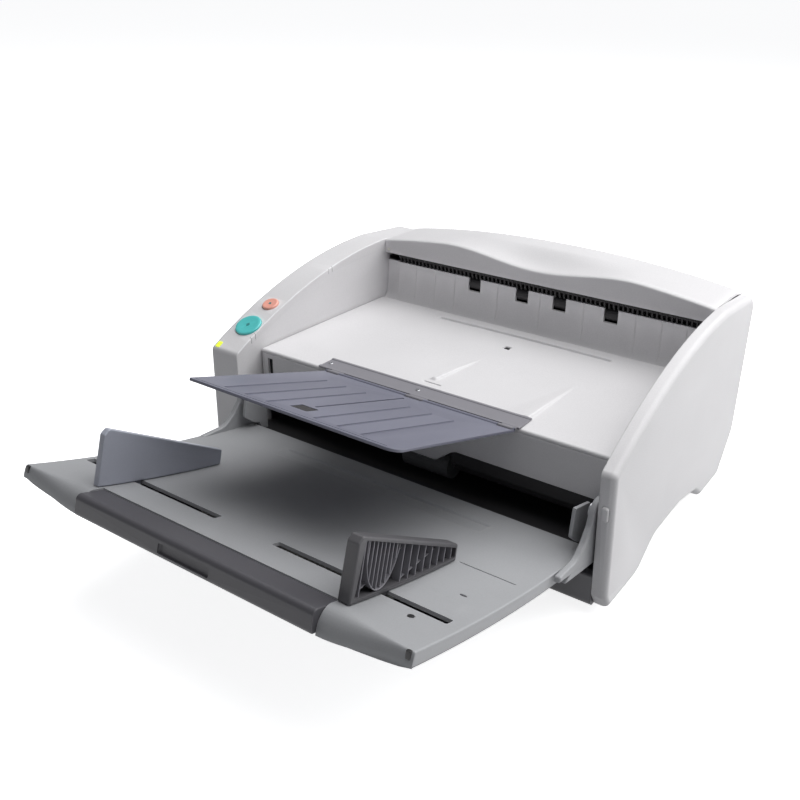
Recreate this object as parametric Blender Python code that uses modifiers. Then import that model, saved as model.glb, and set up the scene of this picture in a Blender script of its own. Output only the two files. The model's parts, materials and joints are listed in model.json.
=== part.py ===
"""Sheet fed document scanner, standing on a table with its feed tray folded out.

X runs to the right, Y to the back and Z up.  Paper lies on the sloping feed tray in front, runs
in under the upper unit, turns round at the back and comes out through the slot under the hood
onto the output floor.  Every length below is in millimetres until it reaches a mesh.
"""
import math

import bmesh
import bpy
from mathutils import Matrix, Vector

MM = 0.001

# overall sizes
HALF_WIDTH = 199.0          # outer faces of the side covers
ARM_INNER = -165.5          # inner face of the left control arm
WALL_INNER = 187.0          # inner face of the right wall
WALL = 3.0                  # thickness of the plastic shells
PILLAR_FRONT = 5.0          # front faces of the two pillars
REAR = 300.0                # rearmost point of the back
GAP = 0.3                   # gap between touching pieces
PATH_CENTRE = 9.5           # middle of the paper path, to the right of the body's middle
DEPTH_CENTRE = 43.12        # middle of the whole depth, from the tray's nose to the back

# side silhouette: the top edge is one arc from the pillar to the hood
ARC_START = (PILLAR_FRONT, 121.0)
ARC_MIDDLE = (100.0, 160.0)
ARC_END = (222.0, 177.5)

# hood
HOOD_FRONT = 223.0
HOOD_LIP = 162.5            # height of the hood's lower front edge
HOOD_SIDE_TOP = 177.0       # height of the hood where it meets the side covers
HOOD_CROWN = 13.5           # extra height in the middle
SCOOP_HALF_WIDTH = 108.0
SCOOP_DEPTH = 13.0

# output floor and upper unit
FLOOR_FRONT, FLOOR_REAR = 35.3, 216.0
FLOOR_TOP_FRONT, FLOOR_TOP_REAR = 117.6, 115.8
UNIT_LEFT, UNIT_RIGHT = ARM_INNER + 1.0, WALL_INNER - 1.0
UNIT_PIVOT = (214.5, 112.0)
PANEL_LOW = 78.5            # lower edge of the upper front panel
PANEL_BULGE_LOW = 65.0      # and of its bulge over the pick-up roller

# feed tray, in its own frame: origin on the fold axis, y back along the tray, z off its surface
TRAY_PIVOT = (14.0, 84.0)
TRAY_SLOPE = math.radians(14.7)
TRAY_FACE = -30.9           # paper surface below the fold axis
TRAY_SAG = 5.5              # hollow of the paper surface between its two ends
TRAY_FRONT, TRAY_REAR = -219.5, 9.5
TRAY_LEFT, TRAY_RIGHT = -164.2, 179.5
EAR_RIGHT = 185.8           # the tray's rear is wider on the right, out to its hinge ear
TRAY_SKIN = 2.6
SKIRT_DEPTH = 8.5
BELLY_CROWN = 9.5           # how much deeper the underside is in the middle
EAR_THICK = 5.0
EAR_RADIUS = 11.5
GUIDE_LEFT, GUIDE_RIGHT = -102.5, 113.5
GUIDE_THICK = 9.5
GUIDE_FRONT, GUIDE_REAR = -204.0, -86.5
GUIDE_TALL, GUIDE_LOW = 42.0, 12.5
RACK_LINE = -167.5          # the guides' slot and racks run across the tray here
GUIDE_CENTRE = (GUIDE_LEFT + GUIDE_RIGHT) / 2
EXTENSION_LEFT, EXTENSION_RIGHT = -100.5, 113.0

# rack and pinion
MODULE = 1.5
PINION_TEETH = 12

# eject flap, in its own frame: origin on the flap's hinge, y back, z off its upper face
FLAP_PIVOT = (27.4, 120.2)
FLAP_SLOPE = math.radians(18.1)
FLAP_LEFT, FLAP_RIGHT = -80.7, 105.2
FLAP_LENGTH = 157.0

# paper path
PATH_LEFT, PATH_RIGHT = -148.0, 167.0
TURN_CENTRE = (190.0, 89.0)
TURN_OUTER = 53.0
WINDOWS = (-57.0, -3.0, 37.5, 90.5)     # middles of the four exit roller windows
WINDOW_WIDTH = 14.0

COLOURS = {  # name: (colour, roughness, metallic)
    "cover": ((0.72, 0.72, 0.73), 0.45, 0.0),
    "tray": ((0.40, 0.40, 0.42), 0.5, 0.0),
    "flap": ((0.17, 0.17, 0.21), 0.45, 0.0),
    "dark": ((0.05, 0.05, 0.055), 0.5, 0.0),
    "base": ((0.11, 0.11, 0.12), 0.55, 0.0),
    "guide": ((0.09, 0.09, 0.10), 0.5, 0.0),
    "rubber": ((0.03, 0.03, 0.03), 0.9, 0.0),
    "roller": ((0.22, 0.22, 0.23), 0.85, 0.0),
    "steel": ((0.55, 0.56, 0.58), 0.3, 1.0),
    "glass": ((0.55, 0.62, 0.62), 0.05, 0.0),
    "start": ((0.06, 0.50, 0.50), 0.35, 0.0),
    "stop": ((0.85, 0.38, 0.30), 0.35, 0.0),
    "lamp": ((0.75, 0.80, 0.20), 0.3, 0.0),
    "board": ((0.03, 0.22, 0.10), 0.6, 0.0),
    "gear": ((0.80, 0.79, 0.74), 0.4, 0.0),
}


# ------------------------------------------------------------------ scene helpers
for old in list(bpy.data.objects):
    bpy.data.objects.remove(old, do_unlink=True)

PARTS = bpy.data.collections.new("document_scanner")
CUTTERS = bpy.data.collections.new("cutters")
for collection in (PARTS, CUTTERS):
    bpy.context.scene.collection.children.link(collection)


def make_material(name):
    colour, roughness, metallic = COLOURS[name]
    material = bpy.data.materials.new(name)
    material.use_nodes = True
    shader = material.node_tree.nodes["Principled BSDF"]
    shader.inputs["Base Color"].default_value = (*colour, 1.0)
    shader.inputs["Roughness"].default_value = roughness
    shader.inputs["Metallic"].default_value = metallic
    return material


MATERIALS = {name: make_material(name) for name in COLOURS}


class Frame:
    """An empty that a group of pieces hangs on.  Shapes are given relative to `zero`."""

    def __init__(self, name, at=(0, 0, 0), tilt=0.0, parent=None, zero=(0, 0, 0)):
        self.empty = bpy.data.objects.new(name, None)
        self.empty.location = Vector(at) * MM
        self.empty.rotation_euler = (tilt, 0, 0)
        self.empty.parent = parent.empty if parent else None
        self.zero = Vector(zero) * MM
        PARTS.objects.link(self.empty)


def axis_frame(name, y, z, x=0.0):
    """A frame on a body axis whose shapes are still given in body coordinates."""
    return Frame(name, (x, y, z), parent=BODY, zero=(x, y, z))


def add_object(name, mesh, material, frame):
    mesh.transform(Matrix.Translation(-frame.zero))
    mesh.materials.clear()
    mesh.materials.append(MATERIALS[material])
    thing = bpy.data.objects.new(name, mesh)
    thing.parent = frame.empty
    PARTS.objects.link(thing)
    return thing


def as_cutter(thing):
    """Keeps a shape only as the tool of another piece's Boolean."""
    PARTS.objects.unlink(thing)
    CUTTERS.objects.link(thing)
    thing.hide_render = True
    thing.display_type = "WIRE"
    return thing


def boolean(thing, tool, operation):
    modifier = thing.modifiers.new(f"{operation} {tool.name}", "BOOLEAN")
    modifier.operation = operation
    modifier.object = as_cutter(tool)
    modifier.solver = "EXACT"


def cut(thing, *tools):
    for tool in tools:
        boolean(thing, tool, "DIFFERENCE")


def fuse(thing, *tools):
    for tool in tools:
        boolean(thing, tool, "UNION")


def round_edges(thing, width, segments=2, angle=35.0):
    modifier = thing.modifiers.new("rounded edges", "BEVEL")
    modifier.width = width * MM
    modifier.segments = segments
    modifier.limit_method = "ANGLE"
    modifier.angle_limit = math.radians(angle)
    modifier.use_clamp_overlap = True


def smooth(thing, angle=35.0):
    thing.data.shade_smooth()
    thing.data.set_sharp_from_angle(angle=math.radians(angle))


# ------------------------------------------------------------------ outline helpers
def arc(centre, radius, start, end, steps):
    """Points on a circle from angle start to angle end, in degrees."""
    angles = (math.radians(start + (end - start) * i / steps) for i in range(steps + 1))
    return [(centre[0] + radius * math.cos(a), centre[1] + radius * math.sin(a)) for a in angles]


def circle_through(p, q, r):
    """Centre and radius of the circle through three points."""
    rows = [(2 * (b[0] - a[0]), 2 * (b[1] - a[1]), b[0] ** 2 - a[0] ** 2 + b[1] ** 2 - a[1] ** 2)
            for a, b in ((p, q), (p, r))]
    (a, b, e), (c, d, f) = rows
    span = a * d - b * c
    centre = ((e * d - b * f) / span, (a * f - e * c) / span)
    return centre, math.dist(centre, p)


def filleted(points, step=22.5):
    """Rounds each (a, b, radius) corner of a closed outline; (a, b) corners stay sharp."""
    outline = []
    for i, point in enumerate(points):
        corner = Vector(point[:2])
        if len(point) == 2:
            outline.append(tuple(corner))
            continue
        before = (Vector(points[i - 1][:2]) - corner).normalized()
        after = (Vector(points[(i + 1) % len(points)][:2]) - corner).normalized()
        half = before.angle(after) / 2
        reach = point[2] / math.tan(half)
        centre = corner + (before + after).normalized() * point[2] / math.sin(half)
        first, last = corner + before * reach - centre, corner + after * reach - centre
        turn = first.angle_signed(last)
        steps = max(2, math.ceil(abs(math.degrees(turn)) / step))
        for k in range(steps + 1):
            spoke = first.copy()
            spoke.rotate(Matrix.Rotation(-turn * k / steps, 2))
            outline.append(tuple(centre + spoke))
    return outline


def inset(outline, distance):
    """The closed counter-clockwise outline moved inwards by a distance."""
    moved = []
    for i, point in enumerate(outline):
        here = Vector(point)
        into = (here - Vector(outline[i - 1])).normalized()
        out = (Vector(outline[(i + 1) % len(outline)]) - here).normalized()
        normal = (into + out).orthogonal().normalized()
        moved.append(tuple(here + normal * distance / max(0.3, normal.dot(into.orthogonal()))))
    return moved


def strip(points, thickness):
    """A bent sheet: the open line on one side, and the same line moved by its thickness."""
    other = []
    for i, point in enumerate(points):
        here = Vector(point)
        into = (here - Vector(points[i - 1])).normalized() if i else None
        out = (Vector(points[i + 1]) - here).normalized() if i + 1 < len(points) else None
        into, out = into or out, out or into
        normal = (into + out).orthogonal().normalized()
        other.append(tuple(here + normal * thickness / normal.dot(into.orthogonal())))
    return list(points) + other[::-1]


# ------------------------------------------------------------------ shape helpers
PLANES = {
    "yz": Matrix(((0, 0, 1, 0), (1, 0, 0, 0), (0, 1, 0, 0), (0, 0, 0, 1))),
    "xy": Matrix.Identity(4),
    "xz": Matrix(((1, 0, 0, 0), (0, 0, -1, 0), (0, 1, 0, 0), (0, 0, 0, 1))),
}


def prism(name, rings, low, high, material, frame, plane="yz"):
    """A flat outline, with any holes as further rings, extruded from low to high."""
    rings = [rings] if isinstance(rings[0][0], (int, float)) else rings
    curve = bpy.data.curves.new(name, "CURVE")
    curve.dimensions = "2D"
    curve.fill_mode = "BOTH"
    curve.extrude = (high - low) / 2 * MM
    for ring in rings:
        spline = curve.splines.new("POLY")
        spline.points.add(len(ring) - 1)
        for point, (a, b) in zip(spline.points, ring):
            point.co = (a * MM, b * MM, 0, 1)
        spline.use_cyclic_u = True
    source = bpy.data.objects.new(name, curve)
    bpy.context.scene.collection.objects.link(source)
    depsgraph = bpy.context.evaluated_depsgraph_get()
    mesh = bpy.data.meshes.new_from_object(source.evaluated_get(depsgraph))
    bpy.data.objects.remove(source)
    bpy.data.curves.remove(curve)
    middle = (low + high) / 2 * MM * (-1 if plane == "xz" else 1)
    mesh.transform(PLANES[plane] @ Matrix.Translation((0, 0, middle)))
    shape = bmesh.new()
    shape.from_mesh(mesh)
    bmesh.ops.remove_doubles(shape, verts=shape.verts, dist=1e-6)
    bmesh.ops.recalc_face_normals(shape, faces=shape.faces)
    shape.to_mesh(mesh)
    shape.free()
    mesh.name = name
    return add_object(name, mesh, material, frame)


def box(name, low, high, material, frame, edge=0.0):
    shape = bmesh.new()
    bmesh.ops.create_cube(shape, size=1.0)
    size = [(b - a) * MM for a, b in zip(low, high)]
    middle = [(a + b) / 2 * MM for a, b in zip(low, high)]
    matrix = Matrix.Translation(middle) @ Matrix.Diagonal((*size, 1.0))
    bmesh.ops.transform(shape, matrix=matrix, verts=shape.verts)
    mesh = bpy.data.meshes.new(name)
    shape.to_mesh(mesh)
    shape.free()
    thing = add_object(name, mesh, material, frame)
    if edge:
        round_edges(thing, edge, 1)
    return thing


def cylinder(name, centre, radius, length, material, frame, axis="x", sides=24, stretch=1.0):
    """A round bar along one axis; stretch makes it oval along the second axis across it."""
    shape = bmesh.new()
    bmesh.ops.create_cone(shape, cap_ends=True, segments=sides, radius1=radius * MM,
                          radius2=radius * MM, depth=length * MM)
    turn = {"x": Matrix.Rotation(math.pi / 2, 4, "Y"), "y": Matrix.Rotation(math.pi / 2, 4, "X"),
            "z": Matrix.Identity(4)}[axis]
    matrix = Matrix.Translation(Vector(centre) * MM) @ turn @ Matrix.Diagonal((1, stretch, 1, 1))
    bmesh.ops.transform(shape, matrix=matrix, verts=shape.verts)
    mesh = bpy.data.meshes.new(name)
    shape.to_mesh(mesh)
    shape.free()
    thing = add_object(name, mesh, material, frame)
    smooth(thing)
    return thing


def turned(name, profile, material, frame, steps=20, axis="X"):
    """A solid turned on the frame's own axis: (place along it, radius) corners from end to end."""
    shape = bmesh.new()
    line = [(profile[0][0], 0.0), *profile, (profile[-1][0], 0.0)]
    verts = [shape.verts.new((u * MM, 0, r * MM) if axis == "X" else (r * MM, 0, u * MM)) for u, r in line]
    for a, b in zip(verts, verts[1:]):
        shape.edges.new((a, b))
    mesh = bpy.data.meshes.new(name)
    shape.to_mesh(mesh)
    shape.free()
    mesh.transform(Matrix.Translation(frame.zero))
    thing = add_object(name, mesh, material, frame)
    screw = thing.modifiers.new("turned", "SCREW")
    screw.axis = axis
    screw.steps = screw.render_steps = steps
    screw.use_merge_vertices = True
    screw.merge_threshold = 0.00001
    screw.use_normal_flip = axis == "X"
    return thing


def stepped(pieces):
    """(x0, x1, radius) lengths of a shaft as one profile of (x, radius) corners."""
    return [corner for x0, x1, r in pieces for corner in ((x0, r), (x1, r))]


def shell(name, rows, thickness, material, frame):
    """A grid of points solidified inwards, for crowned covers."""
    shape = bmesh.new()
    grid = [[shape.verts.new(Vector(p) * MM) for p in row] for row in rows]
    for upper, lower in zip(grid, grid[1:]):
        for a, b, c, d in zip(upper, upper[1:], lower[1:], lower):
            shape.faces.new((a, d, c, b))
    mesh = bpy.data.meshes.new(name)
    shape.to_mesh(mesh)
    shape.free()
    thing = add_object(name, mesh, material, frame)
    solidify = thing.modifiers.new("wall", "SOLIDIFY")
    solidify.thickness = thickness * MM
    solidify.offset = -1.0
    solidify.use_even_offset = True
    smooth(thing)
    return thing


# ------------------------------------------------------------------ frames
BODY = Frame("scanner", (0, -DEPTH_CENTRE, 0))
UNIT = axis_frame("upper_unit_axis", *UNIT_PIVOT)
TRAY = Frame("feed_tray_axis", (0, *TRAY_PIVOT), tilt=-TRAY_SLOPE, parent=BODY)
FLAP = Frame("eject_flap_axis", (0, FLAP_PIVOT[0] - UNIT_PIVOT[0], FLAP_PIVOT[1] - UNIT_PIVOT[1]),
             tilt=-FLAP_SLOPE, parent=UNIT)


# ------------------------------------------------------------------ covers
ARC_CENTRE, ARC_RADIUS = circle_through(ARC_START, ARC_MIDDLE, ARC_END)


def arc_height(y):
    return ARC_CENTRE[1] + math.sqrt(ARC_RADIUS ** 2 - (y - ARC_CENTRE[0]) ** 2)


def side_silhouette():
    """Counter-clockwise outline of a side cover, seen from the right: (y, z)."""
    bottom = [(250, 7.5, 9), (204, 7.5, 7), (188, 20, 12), (150, 27, 40), (95, 25, 30),
              (68, 9, 8), (60, 7.5, 4), (12, 7.5, 5)]
    front = [(PILLAR_FRONT, 20, 8), (PILLAR_FRONT, 121, 6)]
    steps = [22, 45, 70, 95, 120, 145, 170, 195]
    top = [(y, arc_height(y)) for y in steps]
    back = [(ARC_END[0], ARC_END[1], 60), (REAR, 170.5, 13), (281, 42, 22)]
    return filleted((bottom + front + top + back)[::-1])


SILHOUETTE = side_silhouette()
PLATE_WINDOW = filleted([(44, 33), (202, 33), (202, 16), (245, 16), (262, 33, 3), (292, 158, 3), (231, 158),
                         (231, 104), (44, 104)])
PIN_RADIUS = 3.0


def side_cover(name, outer_face, inner_face):
    """A hollow side cover, closed where it shows and open towards the chassis."""
    out = math.copysign(1, outer_face)
    low, high = sorted((outer_face, inner_face))
    cover = prism(name, SILHOUETTE, low, high, "cover", BODY)
    weights = cover.data.attributes.new("bevel_weight_edge", "FLOAT", "EDGE")
    for edge in cover.data.edges:
        ends = [cover.data.vertices[i].co for i in edge.vertices]
        on_face = all(abs(co.x - outer_face * MM) < 1e-6 for co in ends)
        weights.data[edge.index].value = 1.0 if on_face else 0.0
    rounding = cover.modifiers.new("outer edge", "BEVEL")
    rounding.width = 3.6 * MM
    rounding.segments = 3
    rounding.limit_method = "WEIGHT"
    hollow = prism(f"{name}_hollow", inset(SILHOUETTE, WALL), *sorted((outer_face - out * WALL,
                   inner_face + out * WALL)), "cover", BODY)
    window = prism(f"{name}_window", PLATE_WINDOW, *sorted((inner_face - out * 2,
                   inner_face + out * (WALL + 1))), "cover", BODY)
    bore = cylinder(f"{name}_pin_bore", (inner_face, *TRAY_PIVOT), PIN_RADIUS + 0.3, 12, "cover", BODY)
    cut(cover, hollow, window, bore)
    smooth(cover)
    return cover


left_cover = side_cover("left_cover", -HALF_WIDTH, ARM_INNER)
right_cover = side_cover("right_cover", HALF_WIDTH, WALL_INNER)


def crown(x):
    """Height added across the width: a flat arch, highest in the middle."""
    share = (x - PATH_CENTRE) / (WALL_INNER - PATH_CENTRE)
    return HOOD_CROWN * (1 - abs(share) ** 2.2)


def scoop(x):
    """Depth of the finger scoop along the hood's front edge."""
    share = (x - 12.0) / SCOOP_HALF_WIDTH
    return SCOOP_DEPTH * math.cos(share * math.pi / 2) ** 2 if abs(share) < 1 else 0.0


def hood_profile(x):
    """One slice of the hood from its front lip over the top to the back: (x, y, z)."""
    top = HOOD_SIDE_TOP + crown(x)
    edge = top - 2.5 - scoop(x)
    front = [(HOOD_FRONT + 1.5, HOOD_LIP), (HOOD_FRONT, edge)]
    dished = [(HOOD_FRONT + 3 + reach, top - 0.4 - scoop(x) * math.cos(reach / 34 * math.pi / 2) ** 1.5)
              for reach in (0, 11, 22, 34)]
    back = [(276, top - 1.2), (289, top - 3.4), (297, top - 8.5 - crown(x) * 0.25),
            (299.8, top - 15 - crown(x) * 0.6), (299.2, 157.5)]
    return [(x, y, z) for y, z in front + dished + back]


def hood_slices():
    left, right = ARM_INNER + GAP, WALL_INNER - GAP
    return [hood_profile(left + (right - left) * i / 20) for i in range(21)]


top_hood = shell("top_hood", hood_slices(), WALL, "cover", BODY)

REAR_LINE = [(247.5, 9.5), (258, 13), (266, 20), (281.5, 44), (299, 157)]
rear_cover = prism("rear_cover", strip(REAR_LINE[::-1], -WALL), ARM_INNER + GAP, WALL_INNER - GAP,
                   "cover", BODY)
cut(rear_cover,
    box("inlet_hole", (-134, 262, 46), (-106, 300, 68), "cover", BODY),
    box("switch_hole", (-92, 262, 46), (-76.4, 300, 68), "cover", BODY),
    box("data_hole", (-58, 262, 48), (-45.6, 300, 60), "cover", BODY))

lower_front_cover = prism("lower_front_cover", filleted([(PILLAR_FRONT + 1, 9, 5), (10, 7.6), (13, 7.6),
                          (13, 35), (PILLAR_FRONT + 1, 35, 2)]), ARM_INNER + GAP, WALL_INNER - GAP,
                          "base", BODY)
cut(lower_front_cover, box("front_cover_hollow", (ARM_INNER + 4, 9, 0), (WALL_INNER - 4, 20, 32),
                           "base", BODY))

# ------------------------------------------------------------------ base frame and feet
PAN = [(14, 8), (246, 8), (246, 33), (243.5, 33), (243.5, 10.5), (16.5, 10.5), (16.5, 33), (14, 33)]
base_frame = prism("base_frame", PAN, ARM_INNER + 4, WALL_INNER - 4, "base", BODY)
for side, x0, x1 in (("left", ARM_INNER + 1, ARM_INNER + 5), ("right", WALL_INNER - 5, WALL_INNER - 1)):
    fuse(base_frame, prism(f"pan_{side}_end", [(14, 8), (246, 8), (246, 33), (14, 33)],
                           x0, x1, "base", BODY))
for y in (62, 200):
    fuse(base_frame, box(f"pan_rib_{y}", (ARM_INNER + 3, y, 9), (WALL_INNER - 3, y + 2.5, 14),
                         "base", BODY))

FEET = {"front_left": (-140, 38), "front_right": (160, 38),
        "rear_left": (-140, 228), "rear_right": (160, 228)}
for place, (x, y) in FEET.items():
    foot = cylinder(f"foot_{place}", (x, y, 3.85), 11, 7.7, "rubber", BODY, axis="z", sides=20)
    round_edges(foot, 1.2, 1, 60)


# ------------------------------------------------------------------ paper path
def lower_path():
    """The lower wall of the paper path, from the tray to the lower image sensor: (y, z)."""
    return [(18.5, 47.5), (60, 38.6), (80, 36.2), (104, 36)]


def outer_turn():
    """The outer wall of the turn and the rise to the exit."""
    return arc(TURN_CENTRE, TURN_OUTER, -90, 0, 9) + [(243, 118), (241, 132), (238.5, 139)]


feed_base = prism("feed_base", strip(lower_path(), -2.2), ARM_INNER + 1, WALL_INNER - 1, "dark", BODY)
fuse(feed_base, box("feed_base_lip", (ARM_INNER + 1, 17.2, 36.5), (WALL_INNER - 1, 19.6, 47.3),
                    "dark", BODY))
for i, x in enumerate((-153, 171)):
    fuse(feed_base, prism(f"feed_cheek_{i}", [(17.6, 46.9), (25, 45.2), (25, 82), (1.5, 88.5), (-2.5, 67),
                          (8, 58), (15.5, 55), (17.6, 52)], x - 1.2, x + 1.2, "dark", BODY))
cut(feed_base, box("retard_opening", (PATH_CENTRE - 26, 78, 25), (PATH_CENTRE + 26, 97.5, 45),
                   "dark", BODY))

turn_guide = prism("turn_guide", strip([(128.4, 36), *outer_turn()], -2.2), ARM_INNER + GAP,
                   WALL_INNER - GAP, "dark", BODY)
cut(turn_guide, box("drive_opening", (PATH_LEFT + 3, 198.5, 25), (PATH_RIGHT - 3, 219.5, 47), "dark", BODY))

inner_turn = [*arc(TURN_CENTRE, TURN_OUTER - 5, -58, 0, 6), (238, 118), (236.2, 128)]
inner_guide = prism("inner_guide", strip(inner_turn, 2.0), ARM_INNER + GAP, WALL_INNER - GAP, "dark", BODY)

STACK_LINE = [(218.3, 112.8), (220.5, 114.2), (222.6, 117), (224.2, 121), (225.4, 127), (226.3, 140),
              (227, 154)]
stacking_wall = prism("stacking_wall", strip(STACK_LINE, -2.5), ARM_INNER + GAP, WALL_INNER - GAP,
                      "cover", BODY)
for i, x in enumerate(WINDOWS):
    cut(stacking_wall, box(f"roller_window_{i}", (x - WINDOW_WIDTH / 2, 215, 140.5),
                           (x + WINDOW_WIDTH / 2, 240, 160), "cover", BODY))

exit_comb = box("exit_comb", (-136, 227.9, 158.7), (168, 230.3, 166), "dark", BODY)
TEETH = 33
for i in range(TEETH - 1):
    x = -136 + 304 * (i + 1) / TEETH
    cut(exit_comb, box(f"comb_gap_{i}", (x - 2.2, 220, 150), (x + 2.2, 235, 163), "dark", BODY))

SENSOR_FRONT, SENSOR_REAR = 104.4, 128.0


def sensor_bar(name, glass_name, face, direction, frame):
    """A contact image sensor bar with its cover glass, facing the paper at height `face`."""
    low, high = sorted((face, face + direction * 12))
    bar = box(name, (-146, SENSOR_FRONT, low), (165, SENSOR_REAR, high), "dark", frame)
    pocket = sorted((face - direction * 1, face + direction * 2.5))
    cut(bar, box(f"{name}_pocket", (-143, SENSOR_FRONT + 2, pocket[0]), (162, SENSOR_REAR - 2, pocket[1]),
                 "dark", frame))
    pane = sorted((face + direction * 0.2, face + direction * 2.2))
    box(glass_name, (-142.7, SENSOR_FRONT + 2.3, pane[0]), (161.7, SENSOR_REAR - 2.3, pane[1]), "glass",
        frame)


sensor_bar("lower_image_sensor", "lower_sensor_glass", 35.5, -1, BODY)

# ------------------------------------------------------------------ side plates, shafts and drive
PLATE_LEFT = (ARM_INNER - 2.0, ARM_INNER - 0.5)
PLATE_RIGHT = (WALL_INNER + 0.5, WALL_INNER + 2.0)
SHAFT = 3.0
SHAFT_LEFT, SHAFT_RIGHT = ARM_INNER - 0.2, WALL_INNER + 0.2
DRIVE_AXIS = (209.1, 30.1)
IDLER_AXIS = (203.9, 46.6)
RETARD_AXIS = (88.0, 26.5)
EXIT_AXIS = (247.0, 146.0)
EXIT_IDLER_AXIS = (233.4, 147.2)
MOTOR_AXIS = (264.0, 78.0)
DRIVE_BELT_X, EXIT_BELT_X = -185.0, -191.0


def side_plate(name, span):
    plate = prism(name, inset(PLATE_WINDOW, GAP), *span, "steel", BODY)
    middle = sum(span) / 2
    for axis in (DRIVE_AXIS, EXIT_AXIS, MOTOR_AXIS):
        cut(plate, cylinder(f"{name}_bore_{axis[0]:.0f}", (middle, *axis), 4.5, 8, "steel", BODY, sides=20))
    return plate


left_side_plate = side_plate("left_side_plate", PLATE_LEFT)
right_side_plate = side_plate("right_side_plate", PLATE_RIGHT)
for side, x in (("left", ARM_INNER + 3), ("right", WALL_INNER - 3)):
    cut(base_frame, box(f"shaft_slot_{side}", (x - 6, DRIVE_AXIS[0] - 5, 25), (x + 6, DRIVE_AXIS[0] + 5, 40),
                        "base", BODY))


def with_rubber(left, right, centres, width, core, radius):
    """Lengths of a shaft from left to right with a rubber roller on each centre."""
    lengths, x = [], left
    for centre in centres:
        lengths += [(x, centre - width / 2, core), (centre - width / 2, centre + width / 2, radius)]
        x = centre + width / 2
    return lengths + [(x, right, core)]


def pulley(x, radius, left, right):
    """Lengths of a shaft from left to right with a belt pulley on x."""
    return [(left, x - 3, SHAFT), (x - 3, x + 3, radius), (x + 3, right, SHAFT)]


DRIVE_CENTRES = [PATH_CENTRE + offset for offset in (-105, -35, 35, 105)]
BODY_RIGHT = WALL_INNER + 2.5
turned("main_drive_roller", stepped(pulley(DRIVE_BELT_X, 9, DRIVE_BELT_X - 4, SHAFT_LEFT)
       + with_rubber(SHAFT_LEFT, BODY_RIGHT, DRIVE_CENTRES, 34, SHAFT, 8.6)), "roller",
       axis_frame("main_drive_axis", *DRIVE_AXIS))
turned("exit_drive_roller", stepped(pulley(EXIT_BELT_X, 7, EXIT_BELT_X - 4, SHAFT_LEFT)
       + with_rubber(SHAFT_LEFT, BODY_RIGHT, WINDOWS, 20, SHAFT, 6.6)), "roller",
       axis_frame("exit_drive_axis", *EXIT_AXIS), 16)
turned("idler_roller", stepped(with_rubber(SHAFT_LEFT, SHAFT_RIGHT, DRIVE_CENTRES, 30, SHAFT, 7.6)),
       "roller", axis_frame("idler_axis", *IDLER_AXIS))
turned("exit_idler_roller", stepped(with_rubber(SHAFT_LEFT, SHAFT_RIGHT, WINDOWS, 12.4, 1.8, 6.0)),
       "dark", axis_frame("exit_idler_axis", *EXIT_IDLER_AXIS), 16)
turned("retard_roller", stepped(with_rubber(PATH_CENTRE - 33, PATH_CENTRE + 33, [PATH_CENTRE], 44, SHAFT,
       10.4)), "roller", axis_frame("retard_axis", *RETARD_AXIS))
turned("motor_pulley", stepped([(-195.0, -181.5, 7.0), (-181.5, -160.4, 2.5)]), "steel",
       axis_frame("motor_axis", *MOTOR_AXIS))

retard_holder = box("retard_holder", (PATH_CENTRE - 34, 75.5, 10.8), (PATH_CENTRE + 34, 100.5, 31),
                    "dark", BODY)
cut(retard_holder,
    box("retard_hollow", (PATH_CENTRE - 24, 77, 13), (PATH_CENTRE + 24, 99, 40), "dark", BODY),
    box("retard_slot", (PATH_CENTRE - 50, RETARD_AXIS[0] - 3.3, RETARD_AXIS[1] - 3.3),
        (PATH_CENTRE + 50, RETARD_AXIS[0] + 3.3, 40), "dark", BODY))

drive_motor = box("drive_motor", (-165.2, MOTOR_AXIS[0] - 16.5, MOTOR_AXIS[1] - 16.5),
                  (-140, MOTOR_AXIS[0] + 16.5, MOTOR_AXIS[1] + 16.5), "steel", BODY, edge=2.5)
cut(drive_motor, cylinder("motor_bore", (-165, *MOTOR_AXIS), 3.2, 12, "steel", BODY, sides=20))


def belt(name, first, second, radii, x, width, frame, thickness=1.2):
    """A closed belt round two pulleys: a ring that keeps 0.3 mm off both."""
    (y0, z0), (y1, z1) = first, second
    along = math.degrees(math.atan2(z1 - z0, y1 - y0))
    lean = math.degrees(math.asin((radii[0] - radii[1]) / math.dist(first, second)))
    rings = []
    for grow in (GAP + thickness, GAP):
        start = arc(first, radii[0] + grow, along + 90 - lean, along + 270 + lean, 10)
        end = arc(second, radii[1] + grow, along - 90 + lean, along + 90 - lean, 10)
        rings.append(start + end)
    prism(name, rings, x - width / 2, x + width / 2, "rubber", frame)


belt("drive_belt", MOTOR_AXIS, DRIVE_AXIS, (7, 9), DRIVE_BELT_X, 5, BODY)
belt("exit_belt", MOTOR_AXIS, EXIT_AXIS, (7, 7), EXIT_BELT_X, 5, BODY)

# ------------------------------------------------------------------ electronics and sockets
main_board = box("main_board", (-130, 134, 14), (92, 194, 15.6), "board", BODY)
for i, (x, y, wide, deep, tall) in enumerate(((-105, 160, 30, 24, 8), (-40, 150, 22, 22, 3),
                                              (30, 172, 16, 30, 12), (66, 150, 24, 16, 6))):
    fuse(main_board, box(f"component_{i}", (x - wide / 2, y - deep / 2, 15), (x + wide / 2, y + deep / 2,
                         15.6 + tall), "board", BODY))
for i, (x, y) in enumerate(((-122, 142), (84, 142), (-122, 186), (84, 186))):
    fuse(main_board, cylinder(f"stand_off_{i}", (x, y, 12.6), 3, 3.6, "board", BODY, axis="z", sides=12))


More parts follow.
